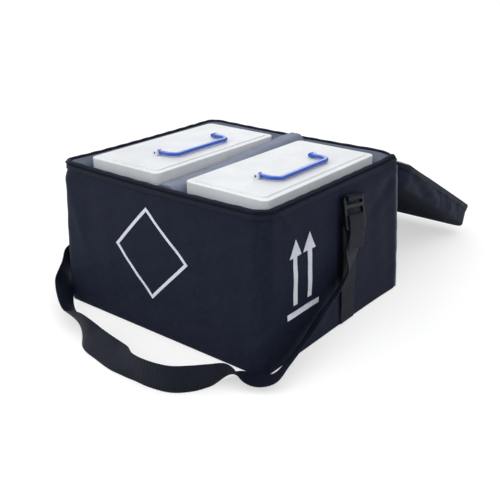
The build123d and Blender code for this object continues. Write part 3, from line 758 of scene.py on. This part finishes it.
class BAG_OT_trim(Operator):
    """Add the rim's binding, the bag's half of the zip, the corner piping and the cover's hinge strip."""

    bl_idname = "bag.trim"
    bl_label = "Binding, zip and piping"

    def execute(self, context):
        # The binding folds over the wall: a half ellipse above it and a short flat lip down each side
        middle, half, lip, crown_foot, crown_height = 3.7, 4.3, 2.95, 2.6, 3.0
        turn = np.radians(np.linspace(0, 180, 15))
        crown = [
            (middle + half * math.cos(a), BAG_HEIGHT - crown_foot + crown_height * math.sin(a) ** 0.8) for a in turn
        ]
        grid, uv = band([*crown, (middle - half, BAG_HEIGHT - lip), (middle + half, BAG_HEIGHT - lip)], 3.0)
        grid[..., 2] += 0.25 * np.sin(0.19 * grid[..., 0] + 0.23 * grid[..., 1])
        binding = surface("folded_rim_binding", settle(grid), uv[..., ::-1], binding_tape, wrap_rows=True)
        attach(binding, "bag")
        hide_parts("rim_binding")
        tape_low, tape_high = node_corners("bag_zip_tape")
        section = straight_box(-PLY_GAP - ZIP_TAPE, ZIP_TAPE, tape_low[2], tape_high[2])
        grid, uv = band(section, 4.0, **ZIP_ENDS)
        tape = surface("bag_side_zip_tape", settle(grid), uv[..., ::-1], zip_tape)
        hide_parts("bag_zip_tape")
        grid, uv = coil(-PLY_GAP - COIL_WIDTH / 2, ZIP_TOP - COIL_HEIGHT / 2)
        wound = surface("bag_side_zip_coil", settle(grid), uv, zip_tape)
        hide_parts("bag_zip_coil")
        for made in (tape, wound):
            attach(made, "bag")
        for side, way in (("left", -1), ("right", 1)):
            self.add_piping(side, way)
        self.add_hinge_strip()
        return {"FINISHED"}

    @staticmethod
    def add_piping(side, way):
        """A round cord in the seam, up the middle of a back corner's curve."""
        low, high = node_corners(f"{side}_seam_piping")
        heights = np.linspace(low[2], high[2], 70)
        inward = corner_at(heights) * (1 - math.sqrt(0.5)) - PIPING_DEPTH * math.sqrt(0.5)
        out = lean(heights) - inward
        path = settle(np.stack((way * (BAG_WIDTH / 2 + out), BAG_DEPTH / 2 + out, heights), -1))
        turn = 2 * np.pi * np.arange(13) / 12
        grid = path[:, None] + PIPING * np.stack((np.cos(turn), np.sin(turn), 0 * turn), -1)[None, :-1]
        uv = stacked(heights[:, None], PIPING * turn[None, :])
        piping = surface(f"{side}_corner_piping", grid, uv, piping_cord)
        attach(piping, "bag")
        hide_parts(f"{side}_seam_piping")

    @staticmethod
    def add_hinge_strip():
        """Cloth from the back wall, out round the zip's gap and up behind the cover's back skirt."""
        low, high = node_corners("cover_hinge_strip")
        half = HINGE_STRIP / 2
        face = BAG_DEPTH / 2 + PLY_GAP + half
        skirt_edge = SKIRT_LOW - PLY_GAP - half
        end = opened(np.array((0, BAG_DEPTH / 2 - SKIRT_IN, skirt_edge)))
        turned = opened(np.array((0, BAG_DEPTH / 2 - SKIRT_OUT + HINGE_STRIP, skirt_edge)))
        corners = np.array((
            (face + lean(WALL_TOP - HINGE_STRIP_DROP), WALL_TOP - HINGE_STRIP_DROP),
            (face + 0.3, WALL_TOP - 2.5),
            (turned[1] - HINGE_STRIP_REACH, turned[2] + HINGE_STRIP_RISE),
            turned[1:],
            end[1:],
        ))
        line = rounded(corners, (1.5, 3, 0.8))
        step = unit(np.gradient(line, axis=0))
        out = half * np.stack((step[:, 1], -step[:, 0]), -1)
        loop = np.vstack((line + out, (line - out)[::-1]))
        along = np.linspace(low[0], high[0], 60)[:, None]
        grid = stacked(along, loop[None, :, 0], loop[None, :, 1])
        uv = stacked(along, girth(loop)[None, :])
        strip = surface("hinge_cloth", grid, uv, outer_nylon)
        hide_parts("cover_hinge_strip")
        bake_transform(strip)


def rounded(corners, radii, steps=6):
    """A line with each inner corner cut back by its radius and bridged by a quadratic curve."""
    line = [corners[0]]
    for here, before, after, radius in zip(corners[1:-1], corners[:-2], corners[2:], radii):
        start = here + (before - here) / np.linalg.norm(before - here) * radius
        end = here + (after - here) / np.linalg.norm(after - here) * radius
        share = np.linspace(0, 1, steps)[:, None]
        line.extend((1 - share) ** 2 * start + 2 * share * (1 - share) * here + share**2 * end)
    line.append(corners[-1])
    return np.array(line)


def opened(points):
    """Turns points of the closed cover open about its hinge."""
    moved = np.array(points, float)
    back, up = HINGE_Y - moved[..., 1], HINGE_Z - moved[..., 2]
    moved[..., 1] = HINGE_Y + back * math.cos(COVER_SLOPE) + up * math.sin(COVER_SLOPE)
    moved[..., 2] = HINGE_Z - back * math.sin(COVER_SLOPE) + up * math.cos(COVER_SLOPE)
    return moved


# Folds on the closed cover's right skirt: start and end as (along, height), width and depth in mm
COVER_FOLDS = (
    ((124, 234), (12, 258), 8, 3.6),
    ((158, 238), (70, 262), 8, -2.6),
    ((0, 238), (-16, 256), 4, 1.3),
    ((-24, 240), (-40, 256), 4, -1.2),
    ((-48, 237), (-62, 254), 4, 1.2),
    ((-90, 240), (-112, 258), 5, -1.0),
)


# In millimetres: how far in from its skirt the cover's waves start, how far its right side rolls out, how far its
# front swells and rises, how far its top dips, and how far back its edge goes up and down with the bag's rim
SKIRT_REACH = 26
SKIRT_ROLL = 5.0
FRONT_SWELL = 4.0
FRONT_RISE = 3.0
TOP_DIP = 1.5
FOLLOW_END = 120


def crumpled(points):
    """Wrinkles the closed cover.

    Its skirt leans in and out in slanting waves, with folds that are Gaussian ridges about segments on the right
    side, which rolls outwards towards the hinge. Its top dips by a cosine each way, its front swells out, and its
    edge follows the bag's rim, so that the zip closes. All but the last fade to the edge by a power of a sine.
    """
    depth = bpy.context.scene.bag_shape.cover_wrinkle / MM
    moved = np.array(points, float)
    x, y, z = np.moveaxis(np.array(points, float), -1, 0)
    rim = np.stack((x, y, np.full_like(z, BAG_HEIGHT)), -1)
    shift = settle(rim) - rim
    down = np.clip((COVER_TOP - z) / (COVER_TOP - SKIRT_LOW), 0, 1)
    belly = np.sin(np.pi * down) ** 0.7
    moved[..., :2] += shift[..., :2]
    moved[..., 2] += shift[..., 2] * down * ease((FOLLOW_END - y) / 60)
    for axis, half, other in ((0, BAG_WIDTH / 2, y), (1, BAG_DEPTH / 2, x)):
        value = (x, y)[axis]
        near = ease((np.abs(value) - half + SKIRT_REACH) / WALL_FADE)
        slanting = other + 1.4 * (z - SKIRT_LOW)
        wave = np.sin(0.072 * slanting + axis) + 0.5 * np.sin(0.171 * other - 0.06 * z + 2 * axis)
        moved[..., axis] -= np.sign(value) * depth * near * (0.35 + 0.3 * wave) * belly
    right = ease((x - BAG_WIDTH / 2 + 14) / 12) * belly
    for start, end, width, tall in COVER_FOLDS:
        moved[..., 0] += right * tall * np.exp(-((off_segment(y, z, start, end) / width) ** 2))
    moved[..., 0] += SKIRT_ROLL * right * ease((y + BAG_DEPTH / 2) / 120)
    front = ease((-y - BAG_DEPTH / 2 + 60) / 60)
    moved[..., 1] -= FRONT_SWELL * front * (0.4 + 0.6 * (1 - down))
    moved[..., 2] += FRONT_RISE * front * (1 - down)
    dip = np.cos(np.pi * x / (BAG_WIDTH + 30)) * np.cos(np.pi * y / (BAG_DEPTH + 30))
    moved[..., 2] -= TOP_DIP * np.clip(dip, 0, 1) * ease((z - COVER_TOP + 20) / 10)
    return moved


def cover_section(outer, inner, low, ceiling, top, edge, levels):
    """Insets and heights of the closed cover from the middle of its top, down its skirt and up inside it."""
    turn = np.radians(np.linspace(0, 90, 8))
    flat = len(FACE_RINGS)
    insets = (
        FACE_RINGS + outer + edge,
        outer + edge * (1 - np.sin(turn)),
        np.full(levels - 1, outer),
        np.full(levels, inner),
        FACE_RINGS[::-1] + inner,
    )
    heights = (
        np.full(flat, top),
        top - edge * (1 - np.cos(turn)),
        np.linspace(top - edge, low, levels)[1:],
        np.linspace(low, ceiling, levels),
        np.full(flat, ceiling),
    )
    return np.concatenate(insets), np.concatenate(heights)


class BAG_OT_cover(Operator):
    """Add the zip-round cover, drawn closed and turned open: shell, lining and its half of the zip."""

    bl_idname = "bag.cover"
    bl_label = "Cover"

    def execute(self, context):
        board = COVER_TOP - COVER_PLATE - PLY_GAP - COVER_FOAM
        insets, heights = cover_section(SKIRT_OUT, SKIRT_MID, SKIRT_LOW, board, COVER_TOP, 5, 16)
        grid, uv = pan(insets, heights, 4.0, upright=True)
        shell = surface("cover_shell", opened(crumpled(grid)), uv, outer_nylon)
        skirts = [f"cover_skirt_{side}" for side in ("front", "back", "left", "right")]
        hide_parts("cover_panel", "cover_foam", *skirts)
        ceiling = board - PLY_GAP
        insets, heights = cover_section(SKIRT_MID + PLY_GAP, SKIRT_IN, SKIRT_LOW, ceiling - LINING, ceiling, 1, 12)
        grid, uv = pan(insets, heights, 5.0, upright=True)
        lining = surface("cover_inner_lining", opened(crumpled(grid)), uv, lining_nylon)
        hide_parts("cover_lining", "cover_skirt_lining")
        outside = SKIRT_OUT - PLY_GAP - COVER_TAPE
        section = straight_box(outside, COVER_TAPE, SKIRT_LOW, SKIRT_LOW + COVER_TAPE_WIDTH)
        grid, uv = band(section, 4.0, upright=True, **ZIP_ENDS)
        tape = surface("cover_side_zip_tape", opened(crumpled(grid)), uv[..., ::-1], zip_tape)
        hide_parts("cover_zip_tape")
        grid, uv = coil(SKIRT_IN - COIL_WIDTH / 2, ZIP_TOP + COIL_GAP + COIL_HEIGHT / 2, upright=True)
        wound = surface("cover_side_zip_coil", opened(crumpled(grid)), uv, zip_tape)
        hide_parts("cover_zip_coil")
        for made in (shell, lining, tape, wound):
            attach(made, "cover")
        return {"FINISHED"}


# Printed signs


# How far the ink's face stands out of the wall, its thickness, and the signs' places as (along, height)
PRINT_OUT = 0.5
INK = 0.25
DIAMOND = np.array(((-15.0, 194.0), (-77.5, 125.7), (-6.5, 56.7), (63.0, 127.3)))
DIAMOND_LINE = 4.6
DIAMOND_APOTHEM = 49.5
# Each arrow's tip along and up, its shaft's place and half width, and its foot's height
ARROWS = ((-106.8, 175.8, -108.5, 4.4, 82), (-74.5, 177.2, -73.7, 4.6, 81.5))
ARROW_SHOULDER = 151.3
ARROW_HEAD = 13.8
BAR_ALONG = (-126.6, -52.6)
BAR_HEIGHTS = (64.6, 72.8)


def on_front(along, height, out):
    """A point on the front wall, so far out of it."""
    return np.stack((along, -(BAG_DEPTH / 2 + lean(height) + out), height), -1)


def on_right(along, height, out):
    """A point on the right wall, so far out of it."""
    return np.stack((BAG_WIDTH / 2 + lean(height) + out, along, height), -1)


def printed(name, along, up):
    """Ink on the right wall: rows at heights, each from one along value to another, laid just proud of the cloth."""
    heights = np.broadcast_to(up[:, None], along.shape)
    face, behind = on_right(along, heights, PRINT_OUT), on_right(along[:, ::-1], heights, PRINT_OUT - INK)
    uv = stacked(np.arange(2 * along.shape[1] + 1.0)[None, :], np.arange(len(up))[:, None])
    made = surface(name, settle(np.concatenate((face, behind), 1)), uv, screen_ink)
    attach(made, "bag")


class BAG_OT_prints(Operator):
    """Add the printed diamond on the front, and the two arrows over a bar on the right side."""

    bl_idname = "bag.prints"
    bl_label = "Printed signs"

    def execute(self, context):
        # Points along the diamond's outer edge are drawn towards its centre by shares of the line's width
        share = np.arange(36)[:, None] / 36
        edge = np.concatenate([a + (b - a) * share for a, b in zip(DIAMOND, np.roll(DIAMOND, -1, 0))])
        centre = DIAMOND.mean(0)
        scales = np.linspace(1, 1 - DIAMOND_LINE / DIAMOND_APOTHEM, 4)
        ringed = centre + (edge - centre)[:, None] * scales[None, :, None]
        loop = np.concatenate((ringed, ringed[:, ::-1]), 1)
        out = np.broadcast_to(np.repeat((PRINT_OUT, PRINT_OUT - INK), 4), loop.shape[:2])
        uv = stacked(np.arange(9.0)[None, :], np.arange(len(edge) + 1.0)[:, None])
        grid = settle(on_front(loop[..., 0], loop[..., 1], out))
        diamond = surface("printed_diamond", grid, uv, screen_ink, wrap_rows=True)
        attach(diamond, "bag")
        shaft_rows, head_rows = 28, 14
        for number, (tip, tip_height, shaft, shaft_half, foot) in enumerate(ARROWS, start=1):
            rise = np.linspace(foot, ARROW_SHOULDER, shaft_rows), np.linspace(ARROW_SHOULDER, tip_height, head_rows)
            half = np.full(shaft_rows, shaft_half), np.linspace(ARROW_HEAD, 0.1, head_rows)
            middle = np.full(shaft_rows, shaft), np.full(head_rows, tip)
            along = np.concatenate(middle)[:, None] + np.concatenate(half)[:, None] * np.linspace(-1, 1, 9)
            printed(f"printed_arrow_{number}", along, np.concatenate(rise))
        along = np.broadcast_to(np.linspace(*BAR_ALONG, 31)[None, :], (6, 31))
        printed("printed_bar", along, np.linspace(*BAR_HEIGHTS, 6))
        return {"FINISHED"}


# Boxes, lids and handles


class BAG_OT_boxes(Operator):
    """Finish the two boxes with their lids, cores, bosses and handles."""

    bl_idname = "bag.boxes"
    bl_label = "Boxes"

    def execute(self, context):
        for side in ("left", "right"):
            dress(f"box_body_{side}", box_polypropylene)
            dress(f"box_lid_{side}", lid_polypropylene)
            dress(f"lid_core_{side}", core_foam)
            dress(f"handle_{side}", handle_nylon)
            for end in ("front", "back"):
                dress(f"handle_boss_{side}_{end}", lid_polypropylene)
        return {"FINISHED"}


# Webbing


def flat_section(width, thick, count=17):
    """A webbing's cut end: two flat faces joined by half-round edges, as a closed loop of (across, out)."""
    half, round_edge = width / 2 - thick / 2, thick / 2
    turn = np.radians((60, 30, 0, -30, -60))
    edge = np.stack((half + round_edge * np.cos(turn), round_edge * np.sin(turn)), -1)
    top = np.stack((np.linspace(-1, 1, count) * half, np.full(count, round_edge)), -1)
    return np.vstack((top, edge, -top, -edge))


def carried(path, across, section):
    """A section carried along a path: across runs sideways, square to the path, and out is square to both."""
    forward = unit(np.gradient(path, axis=0))
    side = unit(across - forward * (across * forward).sum(1, keepdims=True))
    out = np.cross(forward, side)
    grid = path[:, None] + section[None, :, :1] * side[:, None] + section[None, :, 1:] * out[:, None]
    return grid, stacked(girth(section)[None, :], walked(path)[:, None])


def resampled(line, count):
    """A line with a number of points at an even spacing."""
    far = walked(line)
    steps = np.linspace(0, far[-1], count)
    return np.stack([np.interp(steps, far, values) for values in line.T], -1)


# The webbing, and the buckle that hangs by its top bar in the webbing's loop, as in the part's source
WEBBING = 1.7
WEBBING_WIDTH = 38
STRAP_WIDTH = 40
LOOP_HEIGHT = 199
LOOP_FOOT = 3
LOOP_INNER_END = 40
TOP_BAR = 5.2
FRAME_DROP = 45
GRIP_DROP = 25
BUCKLE_GAP = 0.35
STRAP_FACE = 3.8
TAIL_LENGTH = 50
TAIL_LEAN = 7.7
STAND_OFF = 6.3
BAR_X = BAG_WIDTH / 2 + lean(LOOP_HEIGHT) + STAND_OFF
TILT = math.radians(15)
ROLL = math.radians(8)


def buckle_axes(way):
    """A buckle's directions: back along its bar, up its frame and out of its face."""
    out = np.array((way * math.cos(TILT), 0, math.sin(TILT)))
    steep = np.array((-way * math.sin(TILT), 0, math.cos(TILT)))
    run = np.array((0, math.cos(ROLL), 0)) - steep * math.sin(ROLL)
    return run, steep * math.cos(ROLL) + np.array((0, math.sin(ROLL), 0)), out


def on_buckle(way, along, up, out):
    """A point from the middle of a buckle's top bar: back along the bar, up the frame, and out of its face."""
    run, rise, face = buckle_axes(way)
    along, up, out = (np.asarray(value, float)[..., None] for value in (along, up, out))
    return np.array((way * BAR_X, SIDE_Y, LOOP_HEIGHT)) + along * run + up * rise + out * face


class BAG_OT_webbing(Operator):
    """Add the side webbing and its loops, and the strap's free ends in the buckles."""

    bl_idname = "bag.webbing"
    bl_label = "Side webbing and buckles"

    def execute(self, context):
        for side, way in (("left", -1), ("right", 1)):
            grid, uv = self.looped(way)
            web = surface(f"{side}_side_webbing", grid, uv, strap_webbing)
            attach(web, "bag")
            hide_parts(f"side_webbing_{side}")
            dress(f"buckle_{side}", buckle_acetal)
            self.add_tail(side, way)
        return {"FINISHED"}

    @staticmethod
    def looped(way):
        """Webbing up the wall, over the buckle's bar and back down inside: a line at each edge, ruled between."""
        face = BAG_WIDTH / 2 + PLY_GAP + WEBBING / 2
        inner_face = face + WEBBING + PLY_GAP
        turn = TOP_BAR / 2 + BUCKLE_GAP + WEBBING / 2
        inner_end = LOOP_HEIGHT - LOOP_INNER_END
        run = buckle_axes(way)[0]
        lines = []
        for edge in (-WEBBING_WIDTH / 2, WEBBING_WIDTH / 2):
            bar = on_buckle(way, edge / run[1], 0, 0)
            crown = bar[2] + turn
            corners = np.array((
                (way * (face + lean(LOOP_FOOT)), LOOP_FOOT),
                (way * (face + lean(crown)), crown),
                (bar[0] + way * turn, crown),
                (bar[0] + way * turn, bar[2] - turn),
                (way * (inner_face + lean(bar[2])), bar[2] - turn - 1),
                (way * (inner_face + lean(inner_end)), inner_end),
            ))
            lines.append(resampled(rounded(corners, (2.6, 3.2, 3.2, 2.6)), 230))
        (front_x, front_z), (back_x, back_z) = (line.T for line in lines)
        path = stacked((front_x + back_x) / 2, SIDE_Y, (front_z + back_z) / 2)
        across = stacked(back_x - front_x, WEBBING_WIDTH, back_z - front_z)
        return carried(settle(path), across, flat_section(WEBBING_WIDTH, WEBBING))

    @staticmethod
    def add_tail(side, way):
        """The strap's turn over the ribbed bar, and its free end hanging in front of the buckle."""
        crown = -GRIP_DROP + BUCKLE_GAP + WEBBING / 2
        corners = np.array((
            (-STRAP_FACE, -FRAME_DROP),
            (-STRAP_FACE, crown),
            (STRAP_FACE, crown),
            (STRAP_FACE, -FRAME_DROP),
            (STRAP_FACE - TAIL_LEAN, crown - TAIL_LENGTH),
        ))
        line = rounded(corners, (2.6, 2.6, 12))
        line = resampled(line, int(walked(line)[-1] / 0.9) + 1)
        path = on_buckle(way, 0.0, line[:, 1], line[:, 0])
        across = np.tile(buckle_axes(way)[0], (len(path), 1))
        grid, uv = carried(path, across, flat_section(STRAP_WIDTH, WEBBING))
        tail = surface(f"{side}_strap_end", grid, uv, strap_webbing)
        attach(tail, f"buckle_{side}")
        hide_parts(f"strap_tail_{side}")


# The strap's stations, those of the part's source drawn closer to the photograph: its middle, then the way from its
# lower to its upper edge
STRAP_STATIONS = np.array((
    ((-206, 15.5, 122), (0, -0.95, 0.28)),
    ((-210, 1, 98), (-0.2, -0.6, 0.75)),
    ((-217, -45, 76), (-0.42, -0.25, 0.87)),
    ((-228, -95, 61), (-0.5, -0.1, 0.86)),
    ((-232, -140, 48), (-0.38, 0, 0.9)),
    ((-208, -172, 38.7), (-0.3, -0.15, 0.94)),
    ((-190, -194, 23.5), (-0.53, -0.27, 0.8)),
    ((-159.8, -215.5, 16.5), (-0.29, -0.56, 0.77)),
    ((-115.5, -236.7, 15.6), (-0.32, -0.61, 0.71)),
    ((-76, -254.2, 20.5), (-0.05, 0.1, 0.99)),
    ((-45, -264.8, 17.6), (-0.08, 0.6, 0.79)),
    ((-15, -270.9, 17.2), (-0.02, 0.6, 0.8)),
    ((14.6, -275.8, 17), (0.1, 0.6, 0.79)),
    ((38.3, -280.4, 19.5), (0.1, 0.36, 0.93)),
    ((61.2, -285.7, 20.9), (0, 0.04, 1)),
    ((90.4, -285.2, 21), (0, 0, 1)),
    ((119.3, -277.3, 20.9), (0, 0, 1)),
    ((139, -260.4, 20.9), (0, -0.05, 1)),
    ((152.3, -240.8, 20.4), (0.1, -0.2, 0.95)),
    ((161.3, -219.6, 18), (0.3, -0.42, 0.86)),
    ((175.5, -204.5, 12.5), (0.54, -0.76, 0.32)),
    ((194, -195, 8.5), (0.6, -0.78, 0.1)),
    ((210.5, -184.4, 11), (0.7, -0.62, 0.22)),
    ((215.5, -165.5, 18), (0.66, -0.38, 0.58)),
    ((213.3, -131.5, 26), (0.655, -0.23, 0.72)),
    ((213, -100, 40), (0.655, -0.23, 0.72)),
    ((212, -76, 53), (0.655, -0.24, 0.72)),
    ((211.5, -55, 63.5), (0.65, -0.27, 0.71)),
    ((211, -36, 71.5), (0.63, -0.33, 0.7)),
    ((209.5, -18, 81), (0.58, -0.45, 0.65)),
    ((208, -2, 91), (0.48, -0.62, 0.55)),
    ((206.5, 9, 103), (0.3, -0.8, 0.4)),
    ((205.4, 15.5, 119), (0.1, -0.95, 0.27)),
    ((205.3, 18, 133), (0, -0.985, 0.17)),
), float)
# The stations, counted with two at each buckle, between which the strap's front part runs, and the steps from
# one station to the next
FRONT_START, FRONT_END = 6, 27
STRAP_STEPS = 12


def through(points, first, last):
    """A smooth curve through stations: the Catmull-Rom sum of four neighbours' shares, by the share walked."""
    share = np.linspace(first, last, (last - first) * STRAP_STEPS + 1)
    number = np.minimum(np.floor(share).astype(int), last - 1)
    t = (share - number)[:, None]
    a, b, c, d = (points[np.clip(number + k, 0, len(points) - 1)] for k in (-1, 0, 1, 2))
    before, here = a * (2 * t**2 - t - t**3), b * (2 - 5 * t**2 + 3 * t**3)
    after, beyond = c * (t + 4 * t**2 - 3 * t**3), d * (t**3 - t**2)
    return 0.5 * (before + here + after + beyond)


class BAG_OT_strap(Operator):
    """Add the shoulder strap: one flat webbing, in a run at each buckle and one round the front."""

    bl_idname = "bag.strap"
    bl_label = "Shoulder strap"

    def execute(self, context):
        # Two stations below each buckle, square to it
        ends = {
            way: [on_buckle(way, 0.0, -(FRAME_DROP + beyond), -STRAP_FACE) for beyond in (0.2, 10)] for way in (-1, 1)
        }
        left, right = -buckle_axes(-1)[0], -buckle_axes(1)[0]
        middles = np.vstack((ends[-1], STRAP_STATIONS[:, 0], ends[1][::-1]))
        across = np.vstack((left, left, STRAP_STATIONS[:, 1], right, right))
        last = len(middles) - 1
        section = flat_section(STRAP_WIDTH, WEBBING)
        pieces = (
            ("strap_left_side", 0, FRONT_START, "strap_run_left"),
            ("strap_round_front", FRONT_START, FRONT_END, "strap_front"),
            ("strap_right_side", FRONT_END, last, "strap_run_right"),
        )
        for name, first, end, node in pieces:
            path = through(middles, first, end)
            grid, uv = carried(path, through(across, first, end), section)
            made = surface(name, grid, uv, strap_webbing)
            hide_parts(node)
            if node == "strap_front":
                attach(made, "bag")
            else:
                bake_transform(made)
        return {"FINISHED"}


class BAG_OT_slider(Operator):
    """Finish the zip's slider and its pull tab."""

    bl_idname = "bag.slider"
    bl_label = "Zip slider"

    def execute(self, context):
        dress("zip_slider", slider_plating)
        dress("zip_pull", slider_plating)
        return {"FINISHED"}


# The stage


# Each light's name, the way towards it, its strength, its width in degrees and its colour
LIGHTS = (
    ("key_light", (0.0, -0.2, 1.0), 2.15, 110, "#FFFDFA"),
    ("front_fill", (-0.5, -0.85, 0.25), 1.35, 60, "#FFFFFF"),
    ("side_fill", (0.85, 0.0, 0.6), 0.8, 70, "#FFFFFF"),
    ("rim_light", (-0.566, 0.725, 0.42), 0.25, 24, "#FFFFFF"),
)


# How far the table is lifted to white where the camera sees it, how much light the room itself throws on the bag,
# and how much of its white a gloss picks up
TABLE_LIFT = 0.56
ROOM_LIGHT = 0.25
ROOM_IN_GLOSS = 0.2


def grey(value):
    """A neutral colour of a linear value."""
    return (value, value, value, 1.0)


class BAG_OT_stage(Operator):
    """Add the pale floor, the soft lights, the world and the camera."""

    bl_idname = "bag.stage"
    bl_label = "Stage"

    def execute(self, context):
        scene = context.scene
        scene.view_settings.view_transform = "Standard"
        # White paper: matt, so that it keeps the shadow, and lifted to white where the camera sees it. What it
        # throws back on the bag is darker than that, so that the bag's foot isn't lit from below.
        material, tree, shader = new_finish(
            "white_paper_table", Roughness=0.9, Specular_IOR_Level=0.1, Emission_Color=grey(1.0)
        )
        place = add(tree, "TexCoord").outputs["Object"]
        tone, _ = mottled(tree, place, grey(0.47), grey(0.49), 0.3)
        seen, mirrored = self.seen_and_mirrored(tree)
        lit = blended(tree, mirrored, grey(0.25), grey(0.85))
        tree.links.new(blended(tree, seen, lit, tone), shader.inputs["Base Color"])
        tree.links.new(maths(tree, "MULTIPLY", seen, TABLE_LIFT), shader.inputs["Emission Strength"])
        half = 4.0
        mesh = bpy.data.meshes.new("table_top")
        corners = [(-half, -half, 0), (half, -half, 0), (half, half, 0), (-half, half, 0)]
        mesh.from_pydata(corners, [], [(0, 1, 2, 3)])
        mesh.materials.append(material)
        floor = bpy.data.objects.new("table_top", mesh)
        scene.collection.objects.link(floor)
        world = bpy.data.worlds.new("white_room")
        scene.world = world
        world.use_nodes = True
        tree = world.node_tree
        seen, mirrored = self.seen_and_mirrored(tree)
        seen = maths(tree, "MAXIMUM", seen, maths(tree, "MULTIPLY", mirrored, ROOM_IN_GLOSS))
        strength = add(tree, "MapRange", {"Value": seen, "To Min": ROOM_LIGHT, "To Max": 1.0}).outputs[0]
        background = tree.nodes["Background"]
        tint = blended(tree, seen, linear("#E4EEFF"), grey(1.0))
        tree.links.new(tint, background.inputs["Color"])
        tree.links.new(strength, background.inputs["Strength"])
        for light in LIGHTS:
            self.add_light(*light)
        self.add_camera(scene)
        return {"FINISHED"}

    @staticmethod
    def seen_and_mirrored(tree):
        """Whether a ray comes from the camera or through a clear piece, and whether from a glossy one."""
        path = add(tree, "LightPath").outputs
        return maths(tree, "MAXIMUM", path["Is Camera Ray"], path["Is Transmission Ray"]), path["Is Glossy Ray"]

    @staticmethod
    def add_light(name, toward, strength, width, code):
        """A soft light from far off, from the given direction."""
        lamp = bpy.data.lights.new(name, "SUN")
        lamp.color = linear(code)[:3]
        lamp.energy = strength
        lamp.angle = math.radians(width)
        made = bpy.data.objects.new(name, lamp)
        made.rotation_euler = Vector(toward).to_track_quat("Z", "Y").to_euler()
        bpy.context.scene.collection.objects.link(made)

    @staticmethod
    def add_camera(scene):
        """The camera that sees the bag as the photograph does."""
        lens = bpy.data.cameras.new("photo_camera")
        lens.lens = CAMERA_LENS
        lens.sensor_width = 36
        lens.sensor_fit = "HORIZONTAL"
        camera = bpy.data.objects.new("photo_camera", lens)
        back = Vector(CAMERA_BACK).normalized()
        camera.location = Vector(CAMERA_TARGET) + back * CAMERA_DISTANCE
        camera.rotation_euler = back.to_track_quat("Z", "Y").to_euler()
        scene.collection.objects.link(camera)
        scene.camera = camera


OPERATORS = (
    BAG_OT_shell,
    BAG_OT_trim,
    BAG_OT_cover,
    BAG_OT_prints,
    BAG_OT_boxes,
    BAG_OT_webbing,
    BAG_OT_strap,
    BAG_OT_slider,
    BAG_OT_stage,
)


class BAG_PT_panel(Panel):
    """The bag's sizes and colours, and a button for each group of pieces."""

    bl_label = "Transport bag"
    bl_idname = "BAG_PT_panel"
    bl_space_type = "VIEW_3D"
    bl_region_type = "UI"
    bl_category = "Transport Bag"

    def draw(self, context):
        for group in (context.scene.bag_shape, context.scene.bag_colours):
            box = self.layout.box()
            for name in group.__annotations__:
                box.prop(group, name)
        for operator in OPERATORS:
            self.layout.operator(operator.bl_idname)


CLASSES = (BagShape, BagColours, *OPERATORS, BAG_PT_panel)


def register():
    for made in CLASSES:
        bpy.utils.register_class(made)
    bpy.types.Scene.bag_shape = PointerProperty(type=BagShape)
    bpy.types.Scene.bag_colours = PointerProperty(type=BagColours)


def unregister():
    del bpy.types.Scene.bag_shape
    del bpy.types.Scene.bag_colours
    for made in reversed(CLASSES):
        bpy.utils.unregister_class(made)


def main():
    """Builds every piece in order."""
    register()
    bpy.ops.bag.shell()
    bpy.ops.bag.trim()
    bpy.ops.bag.cover()
    bpy.ops.bag.prints()
    bpy.ops.bag.boxes()
    bpy.ops.bag.webbing()
    bpy.ops.bag.strap()
    bpy.ops.bag.slider()
    bpy.ops.bag.stage()


if __name__ == "__main__":
    main()
